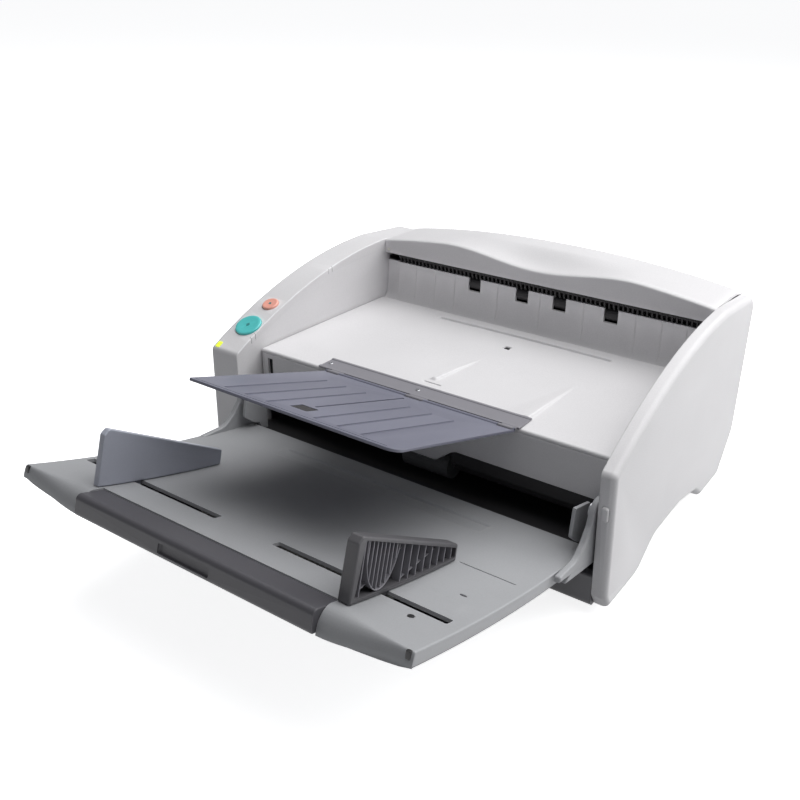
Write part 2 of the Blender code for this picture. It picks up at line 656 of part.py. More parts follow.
power_inlet = box("power_inlet", (-133.7, 258, 46.3), (-106.3, 281.6, 67.7), "dark", BODY)
cut(power_inlet, box("inlet_mouth", (-130, 266, 49.5), (-110, 290, 64.5), "dark", BODY))
for i, x in enumerate((-126, -120, -114)):
    fuse(power_inlet, box(f"inlet_blade_{i}", (x - 1, 264, 54 + 3 * (i == 1)), (x + 1, 277, 59 + 3 * (i == 1)),
                          "dark", BODY))
data_port = box("data_port", (-57.7, 264, 48.3), (-45.9, 281.4, 59.7), "steel", BODY)
cut(data_port, box("data_mouth", (-56.3, 268, 49.7), (-47.3, 290, 58.3), "steel", BODY))
SWITCH = axis_frame("power_switch_axis", 275.5, 57, -84.2)
switch_body = prism("power_switch", filleted([(269, 47.6, 1), (283, 47.6, 1), (280.4, 57), (284.4, 66.4, 1),
                    (269, 66.4, 1)]), -91.4, -77.0, "dark", SWITCH)


# ------------------------------------------------------------------ buttons and lamp
def arm_top(y):
    """Height and slope of the control arm's top at a depth y."""
    return arc_height(y), math.atan2(ARC_CENTRE[0] - y, arc_height(y) - ARC_CENTRE[1])


def top_button(name, x, y, radius, material, travel):
    height, slope = arm_top(y)
    frame = Frame(f"{name}_axis", (x, y, height), tilt=slope, parent=BODY)
    cap = turned(name, [(1.3 + travel, radius - 0.6), (0.9 + travel, radius), (-1.2, radius),
                        (-2.6, radius - 3), (-2.6, 2.5), (-8, 2.5)], material, frame, 28, "Z")
    bore = cylinder(f"{name}_bore", (0, 0, 0), radius + GAP, 14, "cover", frame, axis="z", sides=32)
    cut(left_cover, bore)
    return cap


BOARD_SPOT = (50.0, *arm_top(50))
BOARD = Frame("control_board_place", (-182, *BOARD_SPOT[:2]), tilt=BOARD_SPOT[2], parent=BODY)
control_board = box("control_board", (-12, -32, -14.5), (11, 30, -13), "board", BOARD)
for i, (x, y) in enumerate(((2.5, -15.5), (3.0, 15.5))):
    fuse(control_board, box(f"key_switch_{i}", (x - 3, y - 3, -13.5), (x + 3, y + 3, -10.8), "board", BOARD))
top_button("start_button", -179.5, 35.5, 12.3, "start", 0.6)
top_button("stop_button", -179.0, 64.5, 7.8, "stop", 0.6)

height, slope = arm_top(10)
LAMP = Frame("lamp_place", (-192.0, 10, height), tilt=slope, parent=BODY)
box("lamp_lens", (-2.4, -3, -3), (2.4, 3, 0.3), "lamp", LAMP)
cut(left_cover, box("lamp_hole", (-2.7, -3.3, -6), (2.7, 3.3, 5), "cover", LAMP))

RELEASE = axis_frame("release_button_axis", PILLAR_FRONT, 90, 193)
release_button = prism("release_button", filleted([(190.3, 84, 2.2), (195.7, 84, 2.2), (195.7, 96, 2.2),
                       (190.3, 96, 2.2)]), PILLAR_FRONT - 0.8, PILLAR_FRONT + 5, "tray", RELEASE, "xz")
cut(right_cover, prism("release_hole", filleted([(190, 83.7, 2.4), (196, 83.7, 2.4), (196, 96.3, 2.4),
                       (190, 96.3, 2.4)]), 0, 20, "cover", BODY, "xz"))

# ------------------------------------------------------------------ upper unit
output_floor = prism("output_floor", filleted([(FLOOR_FRONT, FLOOR_TOP_FRONT - 2.6, 1),
                     (FLOOR_REAR, FLOOR_TOP_REAR - 2.6), (FLOOR_REAR, FLOOR_TOP_REAR, 0.8),
                     (FLOOR_FRONT, FLOOR_TOP_FRONT, 1.2)]), UNIT_LEFT, UNIT_RIGHT, "cover", UNIT)
PANEL_TOP = FLOOR_TOP_FRONT - 2.6 - GAP
panel_edge = filleted([(UNIT_LEFT, PANEL_LOW), (-26, PANEL_LOW, 14), (-9, PANEL_BULGE_LOW, 8),
                       (28, PANEL_BULGE_LOW, 8), (45, PANEL_LOW, 14), (UNIT_RIGHT, PANEL_LOW),
                       (UNIT_RIGHT, PANEL_TOP), (UNIT_LEFT, PANEL_TOP)])
panel_slot = [(-157.5, 84), (-157.5, 110), (-151.5, 110), (-151.5, 84)]
upper_front_panel = prism("upper_front_panel", [panel_edge, panel_slot], FLOOR_FRONT, FLOOR_FRONT + WALL,
                          "cover", UNIT, "xz")

CEILING = [(38.9, 111.5), (38.9, 66), (44, 58), (76, 43.6), (90, 41), (188, 41), (192, 43), (193, 48),
           (193, 111.2)]
upper_frame = prism("upper_frame", strip(CEILING, 2.0), UNIT_LEFT + 6, UNIT_RIGHT - 3, "dark", UNIT)
cut(upper_frame,
    box("feed_window", (PATH_CENTRE - 32, 30, 38), (PATH_CENTRE + 32, 101, 72), "dark", UNIT),
    box("sensor_window", (-147, SENSOR_FRONT - 0.6, 35), (166, SENSOR_REAR + 0.6, 60), "dark", UNIT))
BRACKET = filleted([(39.5, 108), (39.5, 63), (76, 44.4), (104, 42), (104, 60, 4), (60, 76, 6), (50, 108)])
ends = [(UNIT_LEFT + 5, UNIT_LEFT + 7), (UNIT_RIGHT - 4, UNIT_RIGHT - 2)]
for i, (x0, x1) in enumerate(ends):
    fuse(upper_frame, prism(f"unit_end_{i}", [(38.9, 111.5), (38.9, 66), (44, 58), (76, 43.6), (90, 41),
                            (188, 41), (192, 43), (193, 48), (193, 111.2)][::-1], x0, x1, "dark", UNIT))
for i, x in enumerate((PATH_CENTRE - 35.4, PATH_CENTRE + 32.4)):
    fuse(upper_frame, prism(f"bracket_{i}", BRACKET[::-1], x, x + 3, "dark", UNIT))

PICKUP_AXIS = (54.0, 55.2)
FEED_AXIS = (88.0, 49.6)
for axis in (PICKUP_AXIS, FEED_AXIS):
    cut(upper_frame, cylinder(f"bracket_bore_{axis[0]:.0f}", (PATH_CENTRE, *axis), SHAFT + 0.3, 74, "dark",
                              UNIT, sides=20))


def unit_axis(name, axis):
    return Frame(name, (0, axis[0] - UNIT_PIVOT[0], axis[1] - UNIT_PIVOT[1]), parent=UNIT)


FEED_BELT_X = PATH_CENTRE - 27.5
for name, axis, radius in (("pickup_roller", PICKUP_AXIS, 12.6), ("feed_roller", FEED_AXIS, 11.6)):
    turned(name, stepped([(PATH_CENTRE - 35, FEED_BELT_X - 2.5, SHAFT), (FEED_BELT_X - 2.5,
           FEED_BELT_X + 2.5, 6), (FEED_BELT_X + 2.5, PATH_CENTRE - 20, SHAFT), (PATH_CENTRE - 20,
           PATH_CENTRE + 26, radius), (PATH_CENTRE + 26, PATH_CENTRE + 35, SHAFT)]), "roller",
           unit_axis(f"{name}_axis", axis))
belt("feed_belt", PICKUP_AXIS, FEED_AXIS, (6, 6), FEED_BELT_X, 4, UNIT)
sensor_bar("upper_image_sensor", "upper_sensor_glass", 39.0, 1, UNIT)

KNUCKLES = ((-79.0, -66.0), (4.0, 21.0), (91.0, 104.0))
KNUCKLE = 1.8
flap_hinge_strip = box("flap_hinge_strip", (-95, 33.5, 117.95), (106, 54, 119.5), "cover", UNIT)
for i, (x0, x1) in enumerate(KNUCKLES):
    middle = (x0 + x1) / 2
    fuse(flap_hinge_strip,
         box(f"knuckle_arm_{i}", (x0, FLAP_PIVOT[0], 118.4), (x1, 34, 119.6), "cover", UNIT),
         cylinder(f"knuckle_{i}", (middle, *FLAP_PIVOT), KNUCKLE, x1 - x0, "cover", UNIT, sides=16))
cut(flap_hinge_strip, cylinder("knuckle_bore", (12, *FLAP_PIVOT), 1.05, 240, "cover", UNIT, sides=16))
cylinder("flap_hinge_pin", (12.3, *FLAP_PIVOT), 0.75, 183, "steel", UNIT, sides=12)

# ------------------------------------------------------------------ eject flap
FLAP_LOW, FLAP_HIGH = -1.9, 0.3         # its underside and upper face
eject_flap = prism("eject_flap", filleted([(FLAP_LEFT, -FLAP_LENGTH, 2), (FLAP_RIGHT, -FLAP_LENGTH, 9),
                   (FLAP_RIGHT, -1.4), (FLAP_LEFT, -1.4)]), FLAP_LOW, FLAP_HIGH, "flap", FLAP, "xy")
fuse(eject_flap, cylinder("flap_barrel", ((FLAP_LEFT + FLAP_RIGHT) / 2, 0, 0), KNUCKLE,
                          FLAP_RIGHT - FLAP_LEFT, "flap", FLAP, sides=16))
for i, (x0, x1) in enumerate(KNUCKLES):
    cut(eject_flap, box(f"flap_notch_{i}", (x0 - GAP, -4.2, -6), (x1 + GAP, 6, 6), "flap", FLAP))
cut(eject_flap,
    cylinder("barrel_bore", (12, 0, 0), 1.05, 240, "flap", FLAP, sides=16),
    box("stopper_opening", (1.7, -140.3, -6), (17.3, -126.7, 6), "flap", FLAP),
    box("flap_channel", (9.2, -122, -0.7), (10.8, -12, 3), "flap", FLAP))
STOPPER = Frame("flap_stopper_axis", (0, -138.8, -1.0), parent=FLAP, zero=(0, -138.8, -1.0))
box("flap_stopper", (2.0, -140, -1.8), (17.0, -127, 0.2), "dark", STOPPER, edge=0.5)

# ------------------------------------------------------------------ feed tray
TRAY_MIDDLE = (TRAY_FRONT + TRAY_REAR) / 2
TRAY_HALF = (TRAY_REAR - TRAY_FRONT) / 2


def surface(y):
    """Height of the tray's hollow paper surface."""
    return TRAY_FACE - TRAY_SAG * (1 - ((y - TRAY_MIDDLE) / TRAY_HALF) ** 2)


def tray_band(front, rear, upper, lower, steps=10):
    """A closed outline between two depths below the paper surface, from front to rear."""
    rows = [front + (rear - front) * i / steps for i in range(steps + 1)]
    return [(y, surface(y) - lower) for y in rows] + [(y, surface(y) - upper) for y in rows[::-1]]


NOTCH = (-200.3, EXTENSION_LEFT - GAP, EXTENSION_RIGHT + GAP)
tray_top = prism("tray_top", tray_band(TRAY_FRONT, TRAY_REAR, 0, SKIRT_DEPTH), TRAY_LEFT, TRAY_RIGHT,
                 "tray", TRAY)
cut(tray_top,
    prism("tray_hollow", tray_band(NOTCH[0] + 2.6, TRAY_REAR - 2.6, TRAY_SKIN, 30),
          TRAY_LEFT + 2.6, TRAY_RIGHT - 2.6, "tray", TRAY),
    prism("corner_hollow_left", tray_band(TRAY_FRONT + 2.6, NOTCH[0] + 10, TRAY_SKIN, 30, 2),
          TRAY_LEFT + 2.6, NOTCH[1] - 2.6, "tray", TRAY),
    prism("corner_hollow_right", tray_band(TRAY_FRONT + 2.6, NOTCH[0] + 10, TRAY_SKIN, 30, 2),
          NOTCH[2] + 2.6, TRAY_RIGHT - 2.6, "tray", TRAY),
    prism("flap_relief", tray_band(-30, -14, -2, 1.4, 4), -97, 108, "tray", TRAY),
    box("extension_notch", (NOTCH[1], -240, -70), (NOTCH[2], NOTCH[0], -20), "tray", TRAY),
    box("guide_slot_right", (32, RACK_LINE - 4, -50), (170, RACK_LINE + 4, -25), "tray", TRAY),
    box("guide_slot_left", (-159, RACK_LINE - 4, -50), (-21, RACK_LINE + 4, -25), "tray", TRAY))


def ear(name, x0, x1):
    """An arm from the tray's side up to the fold axis."""
    foot = [(-36.5, surface(-36.5) - 4), (7, surface(7) - 4)]
    outline = foot + [(8.6, -24), (EAR_RADIUS - 0.6, -4)] + arc((0, 0), EAR_RADIUS, -10, 185, 12) + [
        (-13.5, -10), (-18, -19), (-26, -28)]
    thing = prism(name, outline, x0, x1, "tray", TRAY)
    bore = cylinder(f"{name}_bore", ((x0 + x1) / 2, 0, 0), PIN_RADIUS + 0.3, 20, "tray", TRAY)
    fuse(tray_top, thing)
    cut(tray_top, bore)


fuse(tray_top, prism("tray_wing", tray_band(-36, TRAY_REAR - 0.5, 0.4, SKIRT_DEPTH - 0.4, 4),
                     TRAY_RIGHT - 2, EAR_RIGHT, "tray", TRAY))
ear("ear_left", TRAY_LEFT, TRAY_LEFT + EAR_THICK)
ear("ear_right", EAR_RIGHT - EAR_THICK, EAR_RIGHT)
for side, inner, out in (("left", ARM_INNER, -1), ("right", WALL_INNER, 1)):
    ends = [(inner - out * (EAR_THICK + 4.2), 5.2), (inner - out * (EAR_THICK + 2.2), 5.2),
            (inner - out * (EAR_THICK + 2.2), PIN_RADIUS), (inner + out * 2.8, PIN_RADIUS)]
    turned(f"tray_hinge_pin_{side}", sorted(ends, key=lambda end: (end[0], -out * end[1])), "steel",
           axis_frame(f"hinge_pin_place_{side}", *TRAY_PIVOT), 16)


def belly_row(y, columns=15):
    """One cross slice of the tray's crowned underside."""
    fade = max(0.0, min(1.0, (TRAY_REAR + 4 - y) / 34))
    row = []
    for i in range(columns):
        share = 2 * i / (columns - 1) - 1
        x = (TRAY_LEFT + TRAY_RIGHT) / 2 + share * ((TRAY_RIGHT - TRAY_LEFT) / 2)
        row.append((x, y, surface(y) - SKIRT_DEPTH - GAP - BELLY_CROWN * fade * (1 - abs(share) ** 2.4)))
    return row


BELLY_ROWS = [TRAY_FRONT, -205, -185, -160, -130, -100, -70, -45, -25, -12, 0, TRAY_REAR]
tray_belly = shell("tray_belly", [belly_row(y)[::-1] for y in BELLY_ROWS][::-1], -2.4, "tray", TRAY)
cut(tray_belly, box("belly_notch", (NOTCH[1], -240, -90), (NOTCH[2], NOTCH[0], -20), "tray", TRAY))

EXTENSION = Frame("tray_extension_axis", (0, -210, TRAY_FACE - 12), parent=TRAY,
                  zero=(0, -210, TRAY_FACE - 12))
tray_extension = prism("tray_extension", filleted([(-223.5, -47.5, 3), (NOTCH[0] - GAP, -47.5, 1.5),
                       (NOTCH[0] - GAP, -33.4), (-223.5, -31.6, 4)]), NOTCH[1] + GAP, NOTCH[2] - GAP,
                       "dark", EXTENSION)
fuse(tray_extension, box("extension_plate", (NOTCH[1] + 3, -202, -46.5), (NOTCH[2] - 3, -84, -44.5), "dark",
                         EXTENSION))

# ------------------------------------------------------------------ paper guides with rack and pinion
PITCH_RADIUS = MODULE * PINION_TEETH / 2
RACK_INNER = 54.0           # reach of each rack past the pinion
RACK_LOW, RACK_HIGH = -42.4, -39.4


def guide_outline():
    """Side view of a guide: it stands on the hollow paper surface."""
    rows = [GUIDE_FRONT + (GUIDE_REAR - GUIDE_FRONT) * i / 8 for i in range(9)]
    foot = [(y, surface(y) + 0.4) for y in rows]
    head = [(GUIDE_REAR, surface(GUIDE_REAR) + GUIDE_LOW), (GUIDE_FRONT + 5, surface(GUIDE_FRONT) + GUIDE_TALL),
            (GUIDE_FRONT + 1, surface(GUIDE_FRONT) + GUIDE_TALL - 4)]
    return foot + head


def paper_guide(name, face, out, frame):
    """A guide whose paper side is at x = face, with a stem through the tray's slot."""
    thick = GUIDE_THICK if out > 0 else GUIDE_THICK - 4
    guide = prism(name, guide_outline(), *sorted((face, face + out * thick)), "guide", frame)
    if out > 0:
        hollow = [(y, surface(y) + 4) for y in (GUIDE_FRONT + 5, -170, -140, -112)]
        hollow += [(-112, surface(-112) + 8), (GUIDE_FRONT + 7, surface(GUIDE_FRONT) + GUIDE_TALL - 5)]
        cut(guide, prism(f"{name}_hollow", hollow, face + 4, face + 14, "guide", frame))
    stem = sorted((face + out * 2, face + out * 8))
    fuse(guide, box(f"{name}_stem", (stem[0], RACK_LINE - 3.4, RACK_HIGH + GAP), (stem[1], RACK_LINE + 3.4,
                    surface(RACK_LINE) + 2.5), "guide", frame))


def rack(name, out, frame):
    """A rack on one side of the pinion, with an arm from its outer end to its guide's stem."""
    pitch = math.pi * MODULE
    stem = GUIDE_RIGHT + 5 - GUIDE_CENTRE
    line = [(-RACK_INNER, PITCH_RADIUS + 1.7)]
    for k in range(-11, 23):
        u = (k + 0.5) * pitch
        line += [(u - 1.45, PITCH_RADIUS + 1.7), (u - 0.55, PITCH_RADIUS - 1.35),
                 (u + 0.55, PITCH_RADIUS - 1.35), (u + 1.45, PITCH_RADIUS + 1.7)]
    line += [(stem - 3, PITCH_RADIUS + 1.7), (stem - 3, -3.2), (stem + 3, -3.2),
             (stem + 3, PITCH_RADIUS + 7), (-RACK_INNER, PITCH_RADIUS + 7)]
    prism(name, [(GUIDE_CENTRE + out * u, RACK_LINE + out * v) for u, v in line], RACK_LOW, RACK_HIGH,
          "gear", frame, "xy")


GUIDE_FRAMES = {side: Frame(f"guide_{side}_axis", (x, RACK_LINE, TRAY_FACE), parent=TRAY,
                            zero=(x, RACK_LINE, TRAY_FACE))
                for side, x in (("left", GUIDE_LEFT), ("right", GUIDE_RIGHT))}
paper_guide("guide_left", GUIDE_LEFT, -1, GUIDE_FRAMES["left"])
paper_guide("guide_right", GUIDE_RIGHT, 1, GUIDE_FRAMES["right"])
rack("guide_rack_right", 1, GUIDE_FRAMES["right"])
rack("guide_rack_left", -1, GUIDE_FRAMES["left"])

PINION = Frame("guide_pinion_axis", (GUIDE_CENTRE, RACK_LINE, 0), parent=TRAY,
               zero=(GUIDE_CENTRE, RACK_LINE, 0))
gear_outline = []
for tooth in range(PINION_TEETH):
    middle = 90 + tooth * 360 / PINION_TEETH
    for radius, turn in ((PITCH_RADIUS - 1.8, -9.5), (PITCH_RADIUS, -5.4), (PITCH_RADIUS + 1.3, -2.4),
                         (PITCH_RADIUS + 1.3, 2.4), (PITCH_RADIUS, 5.4), (PITCH_RADIUS - 1.8, 9.5)):
        angle = math.radians(middle + turn)
        gear_outline.append((GUIDE_CENTRE + radius * math.cos(angle), RACK_LINE + radius * math.sin(angle)))
prism("guide_pinion", [gear_outline, arc((GUIDE_CENTRE, RACK_LINE), 2.6, 0, 350, 15)[::-1]],
      RACK_LOW + 0.2, RACK_HIGH - 0.2, "gear", PINION, "xy")
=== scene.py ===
"""Looks of the sheet fed document scanner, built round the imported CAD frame.

Shapes are given in millimetres in three spaces: the body's own (its tray side is at low y), the
feed tray's and the eject flap's.  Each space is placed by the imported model's boxes and joints.
"""
import json
import math

import bmesh
import bpy
from mathutils import Matrix, Vector


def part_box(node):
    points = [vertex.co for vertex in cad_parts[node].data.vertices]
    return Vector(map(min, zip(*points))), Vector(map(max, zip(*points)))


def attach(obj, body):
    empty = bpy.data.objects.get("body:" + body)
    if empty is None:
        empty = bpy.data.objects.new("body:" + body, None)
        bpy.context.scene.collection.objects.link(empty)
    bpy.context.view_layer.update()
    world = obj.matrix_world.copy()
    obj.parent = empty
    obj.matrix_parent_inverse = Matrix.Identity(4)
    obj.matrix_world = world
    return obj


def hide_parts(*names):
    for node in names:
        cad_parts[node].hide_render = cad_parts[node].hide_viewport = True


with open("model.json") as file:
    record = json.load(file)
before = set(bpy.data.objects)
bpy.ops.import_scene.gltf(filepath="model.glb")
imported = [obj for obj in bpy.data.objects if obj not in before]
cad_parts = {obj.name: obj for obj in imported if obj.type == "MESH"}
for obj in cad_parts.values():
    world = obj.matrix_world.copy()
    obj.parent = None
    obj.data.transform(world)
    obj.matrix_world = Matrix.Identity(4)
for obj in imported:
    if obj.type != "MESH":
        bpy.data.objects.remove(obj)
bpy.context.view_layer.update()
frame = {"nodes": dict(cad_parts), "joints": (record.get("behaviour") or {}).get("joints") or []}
JOINTS = {joint["name"]: joint for joint in frame["joints"]}

MM = 0.001
HALF_WIDTH = 199.0
ARM_INNER, WALL_INNER = -165.5, 187.0
PILLAR_FRONT, REAR = 5.0, 300.0
ARC_START, ARC_MIDDLE, ARC_END = (PILLAR_FRONT, 121.0), (100.0, 160.0), (222.0, 177.5)
FLOOR_FRONT, FLOOR_REAR = 35.3, 216.0
FLOOR_TOP_FRONT, FLOOR_TOP_REAR = 117.6, 115.8
UNIT_LEFT, UNIT_RIGHT = ARM_INNER + 1.0, WALL_INNER - 1.0
PATH_CENTRE = 9.5
WINDOWS = (-57.0, -3.0, 37.5, 90.5)
TRAY_FACE, TRAY_SAG = -30.9, 5.5
TRAY_FRONT, TRAY_REAR = -219.5, 9.5
TRAY_LEFT, TRAY_RIGHT, EAR_RIGHT = -164.2, 179.5, 185.8
NOTCH_REAR, NOTCH_LEFT, NOTCH_RIGHT = -200.3, -100.8, 113.3
RACK_LINE = -167.5
GUIDE_LEFT, GUIDE_RIGHT = -102.5, 113.5
GUIDE_FRONT, GUIDE_REAR, GUIDE_TALL, GUIDE_LOW = -204.0, -86.5, 42.0, 12.5
FLAP_LEFT, FLAP_RIGHT, FLAP_LENGTH = -80.7, 105.2, 157.0
FLAP_SLOPE = math.radians(18.1)
STRIP_LEFT, STRIP_RIGHT = -95.0, 106.0


# ------------------------------------------------------------------ spaces
def space(at, tilt=0.0):
    return Matrix.Translation(at) @ Matrix.Rotation(tilt, 4, "X") @ Matrix.Scale(MM, 4)


DEPTH_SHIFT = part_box("left_cover")[0].y - PILLAR_FRONT * MM
BODY = space((0, DEPTH_SHIFT, 0))
tray_along = JOINTS["tray_extension_slide"]["axis"]
TRAY = space(JOINTS["feed_tray_fold"]["pos_m"], math.atan2(tray_along[2], tray_along[1]))
FLAP = space(JOINTS["eject_flap_fold"]["pos_m"], -FLAP_SLOPE)


# ------------------------------------------------------------------ materials
class Nodes:
    """A short way to write a material's node tree."""

    def __init__(self, name):
        self.material = bpy.data.materials.new(name)
        self.material.use_nodes = True
        self.tree = self.material.node_tree
        self.shader = self.tree.nodes["Principled BSDF"]
        self.place = self.add("ShaderNodeTexCoord").outputs["Object"]

    def add(self, kind, inputs=None, **settings):
        node = self.tree.nodes.new(kind)
        for key, value in settings.items():
            setattr(node, key, value)
        for key, value in (inputs or {}).items():
            if hasattr(value, "is_linked"):
                self.tree.links.new(value, node.inputs[key])
            else:
                node.inputs[key].default_value = value
        return node

    def noise(self, scale, detail=3.0, rough=0.55, stretch=None, distortion=0.0):
        place = self.place
        if stretch:
            place = self.add("ShaderNodeMapping", {"Vector": place, "Scale": stretch}).outputs[0]
        return self.add("ShaderNodeTexNoise", {"Vector": place, "Scale": scale, "Detail": detail,
                        "Roughness": rough, "Distortion": distortion}).outputs["Fac"]

    def cells(self, scale):
        return self.add("ShaderNodeTexVoronoi", {"Vector": self.place, "Scale": scale}).outputs["Distance"]

    def ramp(self, value, *stops):
        node = self.add("ShaderNodeValToRGB", {"Fac": value})
        ramp = node.color_ramp
        while len(ramp.elements) < len(stops):
            ramp.elements.new(0.5)
        for element, (place, tone) in zip(ramp.elements, stops):
            element.position = place
            element.color = (*tone, 1.0) if isinstance(tone, tuple) else (tone, tone, tone, 1.0)
        return node.outputs["Color"]

    def blend(self, first, second, share, mode="MIX"):
        node = self.add("ShaderNodeMix", data_type="RGBA", blend_type=mode)
        for index, value in ((0, share), (6, first), (7, second)):
            if hasattr(value, "is_linked"):
                self.tree.links.new(value, node.inputs[index])
            else:
                node.inputs[index].default_value = (*value, 1.0) if isinstance(value, tuple) else value
        return node.outputs[2]

    def mapped(self, value, low, high):
        return self.add("ShaderNodeMapRange", {"Value": value, "To Min": low, "To Max": high}).outputs[0]

    def bump(self, height, distance, strength=1.0, under=None):
        inputs = {"Height": height, "Distance": distance, "Strength": strength}
        if under:
            inputs["Normal"] = under
        return self.add("ShaderNodeBump", inputs).outputs["Normal"]

    def finish(self, colour, roughness, normal=None, **sockets):
        self.tree.links.new(colour, self.shader.inputs["Base Color"])
        self.tree.links.new(roughness, self.shader.inputs["Roughness"])
        if normal:
            self.tree.links.new(normal, self.shader.inputs["Normal"])
        for name, value in sockets.items():
            self.shader.inputs[name.replace("_", " ")].default_value = value
        return self.material


def moulded(name, colour, rough=0.45, grain=1500.0, depth=0.00003, wear_and_highlight=0.25, cloud=0.04, coat=0.0):
    """Spark textured injection moulded plastic: fine grain, faint clouds, edges lightened as handling wear
    and as painted edge highlight.
    """
    nodes = Nodes(name)
    darker = tuple(c * (1 - cloud) for c in colour)
    lighter = tuple(min(1.0, c * (1 + cloud)) for c in colour)
    clouds = nodes.ramp(nodes.noise(9.0, 4.0), (0.35, darker), (0.65, lighter))
    specks = nodes.ramp(nodes.noise(grain * 0.7, 2.0), (0.3, 0.93), (0.7, 1.0))
    tone = nodes.blend(clouds, specks, 1.0, "MULTIPLY")
    # Convex edges are lightened: partly handling wear, partly a painted highlight.
    edge = nodes.ramp(nodes.add("ShaderNodeNewGeometry").outputs["Pointiness"], (0.505, 0.0), (0.56, wear_and_highlight))
    worn_and_highlight_tone = tuple(min(1.0, c * 1.35 + 0.03) for c in colour)
    tone = nodes.blend(tone, worn_and_highlight_tone, edge)
    grain_height = nodes.blend(nodes.noise(grain, 2.5, 0.6), nodes.cells(grain * 0.8), 0.4)
    normal = nodes.bump(grain_height, depth, 0.8)
    rubbed = nodes.noise(28.0, 5.0, 0.6, stretch=(1.0, 0.35, 1.0))
    rough_map = nodes.mapped(rubbed, rough - 0.07, rough + 0.07)
    return nodes.finish(tone, rough_map, normal, Specular_IOR_Level=0.45, Coat_Weight=coat,
                        Coat_Roughness=0.3)


def brushed_metal(name, colour):
    nodes = Nodes(name)
    lines = nodes.noise(600.0, 3.0, 0.6, stretch=(0.04, 1.0, 1.0))
    tone = nodes.ramp(lines, (0.3, tuple(c * 0.82 for c in colour)), (0.7, colour))
    return nodes.finish(tone, nodes.mapped(lines, 0.28, 0.42), nodes.bump(lines, 0.00001, 0.5),
                        Metallic=1.0, Anisotropic=0.4)


def rubber(name, colour, ribs=True):
    nodes = Nodes(name)
    grit = nodes.noise(1800.0, 3.0, 0.7)
    tone = nodes.ramp(grit, (0.3, tuple(c * 0.75 for c in colour)), (0.75, tuple(c * 1.3 for c in colour)))
    normal = nodes.bump(grit, 0.00005, 0.9)
    if ribs:
        wave = nodes.add("ShaderNodeTexWave", {"Vector": nodes.place, "Scale": 180.0, "Distortion": 0.2},
                         bands_direction="X").outputs["Fac"]
        normal = nodes.bump(wave, 0.00012, 0.5, normal)
    return nodes.finish(tone, nodes.mapped(grit, 0.75, 0.95), normal, Specular_IOR_Level=0.3)


def clear_glass(name):
    nodes = Nodes(name)
    smear = nodes.noise(40.0, 4.0, 0.6, stretch=(0.2, 1.0, 1.0))
    tone = nodes.ramp(smear, (0.4, (0.55, 0.62, 0.62)), (0.7, (0.63, 0.70, 0.70)))
    return nodes.finish(tone, nodes.mapped(smear, 0.02, 0.09), Alpha=0.45, IOR=1.5)


def circuit_board(name):
    nodes = Nodes(name)
    tracks = nodes.add("ShaderNodeTexBrick", {"Vector": nodes.place, "Scale": 160.0, "Mortar Size": 0.035,
                       "Color1": (0.02, 0.17, 0.08, 1), "Color2": (0.03, 0.22, 0.10, 1),
                       "Mortar": (0.10, 0.36, 0.16, 1)}).outputs["Color"]
    return nodes.finish(tracks, nodes.mapped(nodes.noise(300.0), 0.3, 0.5), nodes.bump(tracks, 0.00003, 0.6))


def lamp_plastic(name):
    nodes = Nodes(name)
    glow = nodes.ramp(nodes.noise(260.0), (0.3, (0.62, 0.72, 0.04)), (0.7, (0.80, 0.86, 0.12)))
    nodes.tree.links.new(glow, nodes.shader.inputs["Emission Color"])
    return nodes.finish(glow, nodes.mapped(nodes.noise(500.0), 0.2, 0.35), Emission_Strength=0.5,
                        Transmission_Weight=0.2)


COVER = moulded("cover_plastic", (0.70, 0.69, 0.70), 0.46, depth=0.000025, wear_and_highlight=0.35, cloud=0.025)
TRAY_PLASTIC = moulded("tray_plastic", (0.345, 0.350, 0.362), 0.5, depth=0.00004, wear_and_highlight=0.3)
FLAP_PLASTIC = moulded("flap_plastic", (0.155, 0.158, 0.205), 0.42, grain=1300.0, depth=0.00004, wear_and_highlight=0.3)
STRIP_PLASTIC = moulded("hinge_strip_plastic", (0.20, 0.195, 0.215), 0.45, wear_and_highlight=0.4)
DARK = moulded("inner_plastic", (0.030, 0.029, 0.031), 0.5, depth=0.00004, wear_and_highlight=0.15)
BLACK = moulded("comb_plastic", (0.018, 0.017, 0.018), 0.42, wear_and_highlight=0.1)
BASE = moulded("base_plastic", (0.085, 0.084, 0.092), 0.5, depth=0.00004, wear_and_highlight=0.2)
EXTENSION_PLASTIC = moulded("extension_plastic", (0.075, 0.073, 0.082), 0.45, depth=0.00004, wear_and_highlight=0.25)
GUIDE_PLASTIC = moulded("guide_plastic", (0.37, 0.385, 0.445), 0.42, depth=0.00003, wear_and_highlight=0.35)
# Right guide's colour is darker than its lit tone: painted shade for its shaded outer and front sides.
GUIDE_PAINTED_SHADE = moulded("guide_painted_shade_plastic", (0.08, 0.078, 0.084), 0.42, depth=0.00003, wear_and_highlight=0.5)
START_PLASTIC = moulded("start_plastic", (0.10, 0.60, 0.59), 0.3, depth=0.00001, wear_and_highlight=0.15, coat=0.3)
STOP_PLASTIC = moulded("stop_plastic", (0.93, 0.42, 0.33), 0.3, depth=0.00001, wear_and_highlight=0.15, coat=0.3)
ICON_INK = moulded("icon_plastic", (0.05, 0.26, 0.26), 0.35, depth=0.00001, wear_and_highlight=0.0)
GEAR = moulded("gear_acetal", (0.74, 0.73, 0.67), 0.38, depth=0.00001, wear_and_highlight=0.1)
STEEL = brushed_metal("plated_steel", (0.55, 0.56, 0.58))
ROLLER = rubber("roller_rubber", (0.13, 0.13, 0.135))
FOOT_RUBBER = rubber("foot_rubber", (0.03, 0.03, 0.03), ribs=False)
GLASS = clear_glass("sensor_glass")
BOARD = circuit_board("board_lacquer")
LAMP = lamp_plastic("lamp_plastic")


# ------------------------------------------------------------------ outlines
def arc(centre, radius, start, end, steps):
    angles = (math.radians(start + (end - start) * i / steps) for i in range(steps + 1))
    return [(centre[0] + radius * math.cos(a), centre[1] + radius * math.sin(a)) for a in angles]


